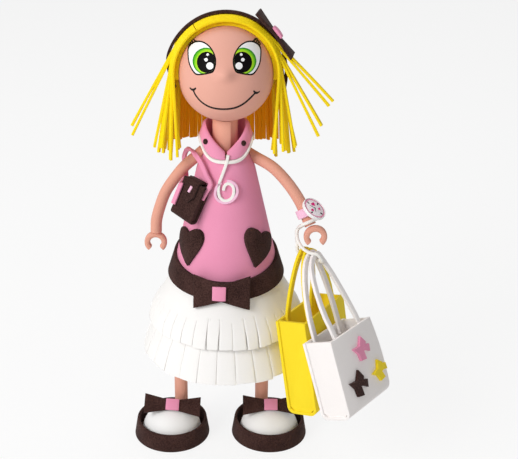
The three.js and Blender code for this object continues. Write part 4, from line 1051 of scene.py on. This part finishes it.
def band_section(inner, outer, half):
    """A band cut across, its outer corners taken off."""
    return [(inner, -half), (outer - 0.4, -half), (outer, -half + 0.4), (outer, half - 0.4),
            (outer - 0.4, half), (inner, half)]


def make_headband():
    end = math.radians(-16)
    tilt = Matrix.Rotation(-FACE_TILT, 3, "X")
    section = band_section(39.0, 41.0, 3.5)
    rows = []
    steps = 96
    for k in range(steps + 1):
        angle = end + (math.pi - 2 * end) * k / steps
        tuck = 4.6 * smooth((angle - math.radians(160)) / math.radians(36))
        rows.append([head_centre + tilt @ Vector(((r - tuck) * math.cos(angle), y,
                                                  (r - tuck) * math.sin(angle)))
                     for r, y in section])
    dressed(lofted("headband_foam", rows), brown, "head", ["headband"])
    place = math.radians(51.5)
    out = tilt @ Vector((math.sin(place), 0, math.cos(place)))
    length = tilt @ Vector((math.cos(place), 0, -math.sin(place)))
    seat = head_centre + out * 41.3
    round_head = Matrix.Rotation(math.radians(4.5), 4, tilt @ Vector((0, 1, 0)))
    for node, material, slot in (("headband_bow", brown, "brown_foam"),
                                 ("headband_bow_knot", pink, "pink_foam")):
        bow = moved(polished(f"{node}_foam", node, 0.4), round_head, head_centre)
        moved(bow, Matrix.Rotation(BOW_DIP, 4, length), seat)
        dressed(bow, material, "head", [node])


# ---------------------------------------------------------------- arms, hands and watch

right_shares = [(0, 0, 0), (-0.14, 0, -0.128), (-0.252, 0, -0.272), (-0.353, 0, -0.43),
                (-0.428, 0, -0.627), (-0.472, 0, -0.8), (-0.48, 0, -0.942)]
left_shares = [(0, -0.025, 0), (0.19, -0.133, -0.082), (0.365, -0.25, -0.237),
               (0.495, -0.35, -0.41), (0.562, -0.417, -0.547), (0.59, -0.445, -0.605),
               (0.612, -0.467, -0.65)]


def arm_points(shares, side):
    points = [Vector((side * SHOULDER_SIDE + x * ARM_REACH, y * ARM_REACH,
                      SHOULDER_PLACE + z * ARM_REACH)) for x, y, z in shares]
    inward = (points[0] - points[1]).normalized()
    return [points[0] + inward * 7, *points]


right_arm = arm_points(right_shares, -1)
left_arm = arm_points(left_shares, 1)
left_line = spline(left_arm, density=24)


def body_room():
    """The room that the body takes from an arm at the angles of its swing."""
    whole = None
    for k in range(5):
        top = CONE_TOP + 1.1
        room = turned("body_room", [(0, HIP), (covering(HIP) + 0.3, HIP), (19.9, SHOULDER),
                                    (15.3, top), (0, top)], steps=64)
        pivot = at((0, 0, SHOULDER_PLACE))
        angle = math.radians(30 * k / 4)
        room.data.transform(Matrix.Translation(pivot) @ Matrix.Rotation(angle, 4, "X")
                            @ Matrix.Rotation(0.031, 4, "Z") @ Matrix.Translation(-pivot))
        whole = room if whole is None else cut(whole, room, "UNION")
    return whole


def make_arms():
    for side, points in (("right", right_arm), ("left", left_arm)):
        body = f"{side}_arm"
        arm = piped(f"{side}_arm_foam", spline(points), ARM_RADIUS, sides=8)
        cut(arm, body_room())
        dressed(arm, skin, body, [f"{side}_arm"], 50)
        wrist, before = points[-1], points[-2]
        centre = wrist + (wrist - before).normalized() * 8.3
        rows = []
        opening = math.radians(84)
        for k in range(49):
            angle = opening / 2 + (2 * math.pi - opening) * k / 48
            loop = []
            for a in full_turn(16):
                c, s = math.cos(a), math.sin(a)
                flat_c = math.copysign(abs(c) ** 0.6, c)
                flat_s = math.copysign(abs(s) ** 0.6, s)
                radius = 6 + 2 * flat_c
                loop.append(centre + Vector((radius * math.sin(angle), 2.6 * flat_s,
                                             -radius * math.cos(angle))))
            rows.append(loop)
        hand = lofted(f"{side}_hand_foam", rows)
        rounded(hand, 0.5, 2, 60)
        dressed(hand, skin, body, [f"{side}_hand"], 50)


def make_watch():
    spot, way = along(left_line, 0.865)
    frame_way = way.to_track_quat("Z", "Y").to_matrix()
    rows = [[spot + frame_way @ Vector((r * math.cos(a), r * math.sin(a), z))
             for r, z in band_section(4.3, 6.0, 3.0)] for a in full_turn(64)]
    strap = lofted("watch_strap_foam", rows, closed=True)
    dressed(strap, pale_pink, "left_arm", ["watch_strap"])
    centre = middle_of("watch_case")
    face = Vector((0.5, -0.32, 0.805)).normalized()
    across = Vector((0, 0, 1)).cross(face).normalized()
    above = face.cross(across)
    turn = Matrix((across, above, face)).transposed()

    def set_in(points):
        return [centre + turn @ Vector(p) for p in points]

    profile = [(0, -1.3), (8.2, -1.3), (8.7, -0.9), (8.8, 0), (8.7, 0.9), (8.5, 1.3), (8.2, 1.3),
               (8.0, 0.8), (0, 0.8)]
    rows = [set_in([(max(r, 0.01) * math.cos(a), max(r, 0.01) * math.sin(a), z)
                    for r, z in profile]) for a in full_turn(72)]
    dressed(lofted("watch_case_rim", rows, closed=True), watch_white, "left_arm",
            ["watch_case"])
    for name, radius, height, material in (("watch_dial_ring", 7.95, 0.95, pink),
                                           ("watch_dial", 6.8, 1.1, dial_pink)):
        rings = [(radius * grow, height - deep)
                 for grow, deep in ((0.98, 0.3), (1, 0.25), (1, 0.08), (0.98, 0))]
        dressed(disc_stack(name, centre, face, rings), material, "left_arm")

    def flat_mark(name, outline, height, angle=0.0):
        spots = [Matrix.Rotation(angle, 2) @ Vector(p) for p in outline] if angle else outline
        return lofted(name, [set_in([(x, y, z) for x, y in spots])
                             for z in (height - 0.12, height)])

    bars = [flat_mark(f"bar_{k}", [(-0.45, 4.9), (0.45, 4.9), (0.45, 6.7), (-0.45, 6.7)], 1.22,
                      math.pi / 2 * k + 0.2) for k in range(4)]
    dressed(joined("watch_hour_marks", bars), print_black, "left_arm")
    hands = [flat_mark(f"hand_{k}", [(-0.22, -0.6), (0.22, -0.6), (0.12, length),
                                     (-0.12, length)], 1.34, a)
             for k, (length, a) in enumerate(((4.2, 0.5), (3.2, 2.4)))]
    dressed(joined("watch_hands", hands), ink_grey, "left_arm")
    hearts = []
    for k, (x, y, size) in enumerate(((1.7, 2.8, 3.6), (-3.4, -0.2, 2.7), (3.1, -2.3, 2.4))):
        outline = [(x + size * 0.06 * 16 * math.sin(t) ** 3 / 2,
                    y + size * 0.06 * (13 * math.cos(t) - 5 * math.cos(2 * t)
                                       - 2 * math.cos(3 * t) - math.cos(4 * t)) / 2)
                   for t in full_turn(28)]
        hearts.append(flat_mark(f"dial_heart_{k}", outline, 1.25))
    dressed(joined("watch_dial_hearts", hearts), magenta, "left_arm")


def make_loop():
    wrist, way = along(left_line, 0.965)
    level = Vector((0, 0, 1)).cross(way).normalized()
    above = way.cross(level) * -1
    if above.z < 0:
        above = -above
    hold = ARM_RADIUS + SEAT + 1.4
    drop = 25
    pivot = wrist + Vector((0.06, -0.18, -1)) * drop
    row = math.radians(55)
    front = 1 if level.y < 0 else -1
    across = Vector((math.sin(row), -math.cos(row), 0))

    def on_wrist(a, b):
        return wrist + level * a * hold + above * b * hold

    def low_run(a):
        return pivot + across * a * 9.6

    def seen(right, above_it, behind):
        return (pivot + Vector((1, 0, 0)) * right + Vector((0, 0.4226, 0.9063)) * above_it
                + Vector((0, 0.9063, -0.4226)) * behind)

    points = [on_wrist(0, 1), on_wrist(front * 0.75, 0.72), on_wrist(front * 1.08, 0),
              seen(-9, 19.4, -1), seen(-9.4, 14.5, -2), seen(-7.8, 9.7, -3.5), seen(-4.8, 6, -5.5),
              seen(-0.6, 3.6, -6.6), seen(4, 2.4, -7.6), low_run(0.95), low_run(0.6),
              low_run(-0.2), low_run(-0.82), seen(-8.6, 5.2, 3.2), seen(-9, 10, 2),
              seen(-9.3, 14.6, 1.6), seen(-9, 19.2, 2), on_wrist(-front * 1.08, -0.2),
              on_wrist(-front * 0.75, 0.72)]
    loop = piped("carry_loop_strip", spline(points, closed=True, density=10), 1.2, True, 5)
    dressed(loop, strip_white, "carry_loop", ["carry_loop"])


# ---------------------------------------------------------------- bags

YELLOW_TILT = (-11.4, 2.7, 57.4)
WHITE_TILT = (-21.6, 3.7, 53.3)
WHITE_PANEL = -143.43


def bag_frame(tilt):
    return Euler([math.radians(a) for a in tilt], "XYZ").to_matrix()


def widened(obj, lean, extra):
    """Makes a handle broader in its own plane, and lifts it off the strip it hangs on."""
    flat = lean @ Vector((0, 1, 0))
    for vertex, normal in [(v, v.normal.copy()) for v in obj.data.vertices]:
        normal -= flat * normal.dot(flat)
        if normal.length > 0.1:
            vertex.co += normal.normalized() * extra * MM
        vertex.co.z += extra * MM
    return obj


def bowed(bag, lean, top, length, less, bulge, edge):
    """Bows out the open side of a bag and takes some off its height."""
    for step in range(1, 18):
        sliced(bag, at(lean @ Vector((0, 0, top - length * step / 18))),
               lean @ Vector((0, 0, 1)), fill=False)
    for vertex in bag.data.vertices:
        place = lean.transposed() @ ((vertex.co - axis) / MM)
        share = min(max((top - place.z) / length, 0), 1)
        if place.x > 0:
            swell = math.sin(math.pi / 2 * min(share / 0.62, 1))
            swell -= 0.9 * max(0, (share - 0.86) / 0.14) ** 2
            place.x += bulge * swell * min(place.x / edge, 1)
        place.z += less * share
        vertex.co = at(lean @ place)
    return bag


def make_bags():
    bags = (("yellow", "yellow_shopping_bag", yellow, YELLOW_TILT, 0.7),
            ("white", "white_shopping_bag", white, WHITE_TILT, 0.35))
    for colour, body, material, tilt, extra in bags:
        lean = bag_frame(tilt)
        bag = polished(f"{colour}_bag_foam", f"{colour}_bag", 0)
        if colour == "white":
            bowed(bag, lean, 78.01, 58.8, 3.9, 4.2, 17.4)
        rounded(bag, 0.45, 2, 35)
        dressed(bag, material, body, [f"{colour}_bag"])
        for side in ("front", "back"):
            node = f"{colour}_bag_{side}_handle"
            handle = rounded(widened(polished(f"{node}_foam", node, 0), lean, extra), 0.3, 2, 35)
            dressed(handle, material, body, [node])
    outline = [(1.8, 9), (6.4, 3.2), (5.2, 0.9), (10, 0), (9, -5.4), (4, -2.6),
               (1.2, -2.2), (2.4, -8.8), (-4.4, -7.6), (-5.6, -1.8), (-10.4, 3.4), (-2.4, 2.9)]
    for colour, material, x, z, turn, size in (("pink", pink, -3.2, 62.3, 2, 0.94),
                                               ("yellow", yellow, 11.6, 41.2, 16, 0.86),
                                               ("brown", brown, -15.8, 42, -2, 1.02)):
        set_at = Matrix.Rotation(math.radians(turn), 2)
        ribbon_outline = [set_at @ Vector(p) * size for p in outline]
        rows = [[lean @ Vector((x + p.x * grow, y, z + p.y * grow)) for p in ribbon_outline]
                for y, grow in ((WHITE_PANEL, 1), (WHITE_PANEL - 1.77, 1),
                                (WHITE_PANEL - 2.02, 0.96))]
        bow = lofted(f"{colour}_ribbon_foam", rows)
        dressed(bow, material, "white_shopping_bag", [f"{colour}_ribbon"], 40)


def make_purse():
    lean = Euler((math.radians(-13), math.radians(9), math.radians(-28)), "XYZ").to_matrix()
    place = Vector((-24.2, -20.6, CONE_TOP - 15.6))
    middle, corner = Vector((-25.6, -18.7, 200)), Vector((-17.5, -22, 187))
    yaw, roll = spin(-12, "Z").to_3x3(), spin(7, "Y").to_3x3()

    def posed(obj):
        return moved(moved(obj, yaw, middle), roll, corner)

    def local(x, y, z):
        spot = place + lean @ Vector((x, y, z))
        spot = middle + yaw @ (spot - middle)
        return corner + roll @ (spot - corner)

    body = posed(polished("purse_foam", "purse", 0.45))
    dressed(body, brown, "handbag", ["purse"])
    flap = polished("purse_flap_foam", "purse_flap", 0)
    for sign in (-1, 1):
        sliced(flap, at(place + lean @ Vector((sign * 5.75, 0, -9.5))),
               lean @ Vector((sign * 0.8, 0, -0.6)))
    for vertex in flap.data.vertices:
        inward = (vertex.co - at(place)).dot(lean @ Vector((1, 0, 0)))
        vertex.co -= lean @ Vector((inward * 0.11, 0, 0))
    posed(flap)
    sliced(flap, at((-21.2, -14.4, 213.4)), (0.4637, 0.8721, 0))
    rounded(flap, 0.4, 2)
    dressed(flap, brown, "handbag_flap", ["purse_flap"])
    turn = roll @ yaw @ lean
    clasp = plated("purse_clasp", [(-0.9, -2.4), (0.9, -2.4), (0.9, 2.4), (-0.9, 2.4)], 1.0,
                   local(0.4, -2.7, -5.2), turn @ spin(8, "Y").to_3x3())
    rounded(clasp, 0.25, 2)
    dressed(clasp, pale_pink, "handbag_flap")
    over = CONE_TOP
    points = [local(-8.4, -1.3, -21), local(-8.5, -1.3, -13), local(-8.7, -1.0, -6),
              Vector((-30.2, -10.6, over - 19.8)), Vector((-28.8, -4.5, over - 19.9)),
              Vector((-27.6, 2, over - 20)), Vector((-28.3, 7, over - 15.5)),
              Vector((-29, 8.4, over - 8.5)), Vector((-27, 6.4, over - 2.2)),
              Vector((-24, 0.6, over + 0.4)), Vector((-21.3, -7.5, over + 0.2)),
              Vector((-16.7, -14.4, over - 4)), Vector((-13.4, -19.5, over - 10)),
              local(9.3, 4.9, 3), local(8.8, 4.5, -3), local(8.2, 4.2, -9)]
    strap = ribbon("purse_strap_foam", spline(points, density=5), turn @ Vector((1, 0, 0)),
                   3.2, 1.8)
    dressed(strap, pink, "handbag", ["purse_strap"])


# ---------------------------------------------------------------- stage, light and camera

def make_stage():
    bpy.ops.mesh.primitive_grid_add(size=6, x_subdivisions=2, y_subdivisions=2,
                                    location=(0, 0, -0.0002))
    floor = only(bpy.context.active_object)
    floor.name = "floor"
    material = bpy.data.materials.new("pale_floor")
    material.use_nodes = True
    tree = material.node_tree
    shader = tree.nodes["Principled BSDF"]
    shader.inputs["Roughness"].default_value = 0.9
    shader.inputs["Specular IOR Level"].default_value = 0.1
    grain = placed(tree, "ShaderNodeTexNoise", {"Scale": 40})
    tint = placed(tree, "ShaderNodeValToRGB", {"Fac": grain.outputs["Fac"]})
    for key, grey in zip(tint.color_ramp.elements, (0.93, 0.95)):
        key.color = (grey, grey, grey, 1)
    tree.links.new(tint.outputs["Color"], shader.inputs["Base Color"])
    whiteness = placed(tree, "ShaderNodeEmission", {"Color": (1, 1, 1, 1), "Strength": 1.0})
    seen = placed(tree, "ShaderNodeLightPath").outputs["Is Camera Ray"]
    mix = placed(tree, "ShaderNodeMixShader", {
        "Fac": counted(tree, "MULTIPLY", seen, 0.82), 1: shader.outputs[0],
        2: whiteness.outputs[0]})
    tree.links.new(mix.outputs[0], tree.nodes["Material Output"].inputs["Surface"])
    floor.data.materials.append(material)


def make_world():
    world = bpy.data.worlds.new("studio")
    bpy.context.scene.world = world
    world.use_nodes = True
    tree = world.node_tree
    tree.nodes.clear()
    soft, seen = (placed(tree, "ShaderNodeBackground", {
        "Color": (1, 1, 1, 1), "Strength": strength}).outputs[0] for strength in (0.34, 1.0))
    rays = placed(tree, "ShaderNodeLightPath")
    mix = placed(tree, "ShaderNodeMixShader", {
        "Fac": rays.outputs["Is Camera Ray"], 1: soft, 2: seen})
    placed(tree, "ShaderNodeOutputWorld", {"Surface": mix.outputs[0]})


def lamp(name, place, target, size, power):
    light = bpy.data.lights.new(name, "AREA")
    light.shape = "SQUARE"
    light.size = size
    light.energy = power
    obj = bpy.data.objects.new(name, light)
    bpy.context.scene.collection.objects.link(obj)
    obj.location = place
    obj.rotation_euler = (Vector(target) - Vector(place)).to_track_quat("-Z", "Y").to_euler()


def make_light():
    middle = axis + Vector((0, 0, 0.17))
    lamp("key", middle + Vector((-0.9, -0.85, 0.75)), middle, 0.7, 13)
    lamp("fill", middle + Vector((1.0, -0.9, 0.35)), middle, 1.0, 1.3)
    lamp("top", middle + Vector((-0.1, 0.5, 1.2)), middle, 1.0, 4.5)


def make_camera():
    camera = bpy.data.cameras.new("camera")
    camera.lens = 78.6
    camera.sensor_width = 36
    camera.shift_x = 0.0637
    camera.clip_end = 20
    obj = bpy.data.objects.new("camera", camera)
    bpy.context.scene.collection.objects.link(obj)
    obj.location = at(CAMERA)
    obj.rotation_euler = (math.pi / 2 - CAMERA_DROP, 0, 0)
    bpy.context.scene.camera = obj


for make in (make_shoes, make_skirt, make_blouse, make_belt, make_collar, make_neck, make_pendant,
             make_head, make_face, make_hair, make_headband, make_arms, make_watch, make_loop,
             make_bags, make_purse):
    make()
for node in ("right_leg_dowel", "left_leg_dowel", "neck_dowel", "body_core", "head_core"):
    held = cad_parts[node]
    held.data.materials.clear()
    held.data.materials.append(wood if node.endswith("dowel") else styrene)
make_stage()
make_world()
make_light()
make_camera()
bpy.context.scene.view_settings.view_transform = "Standard"
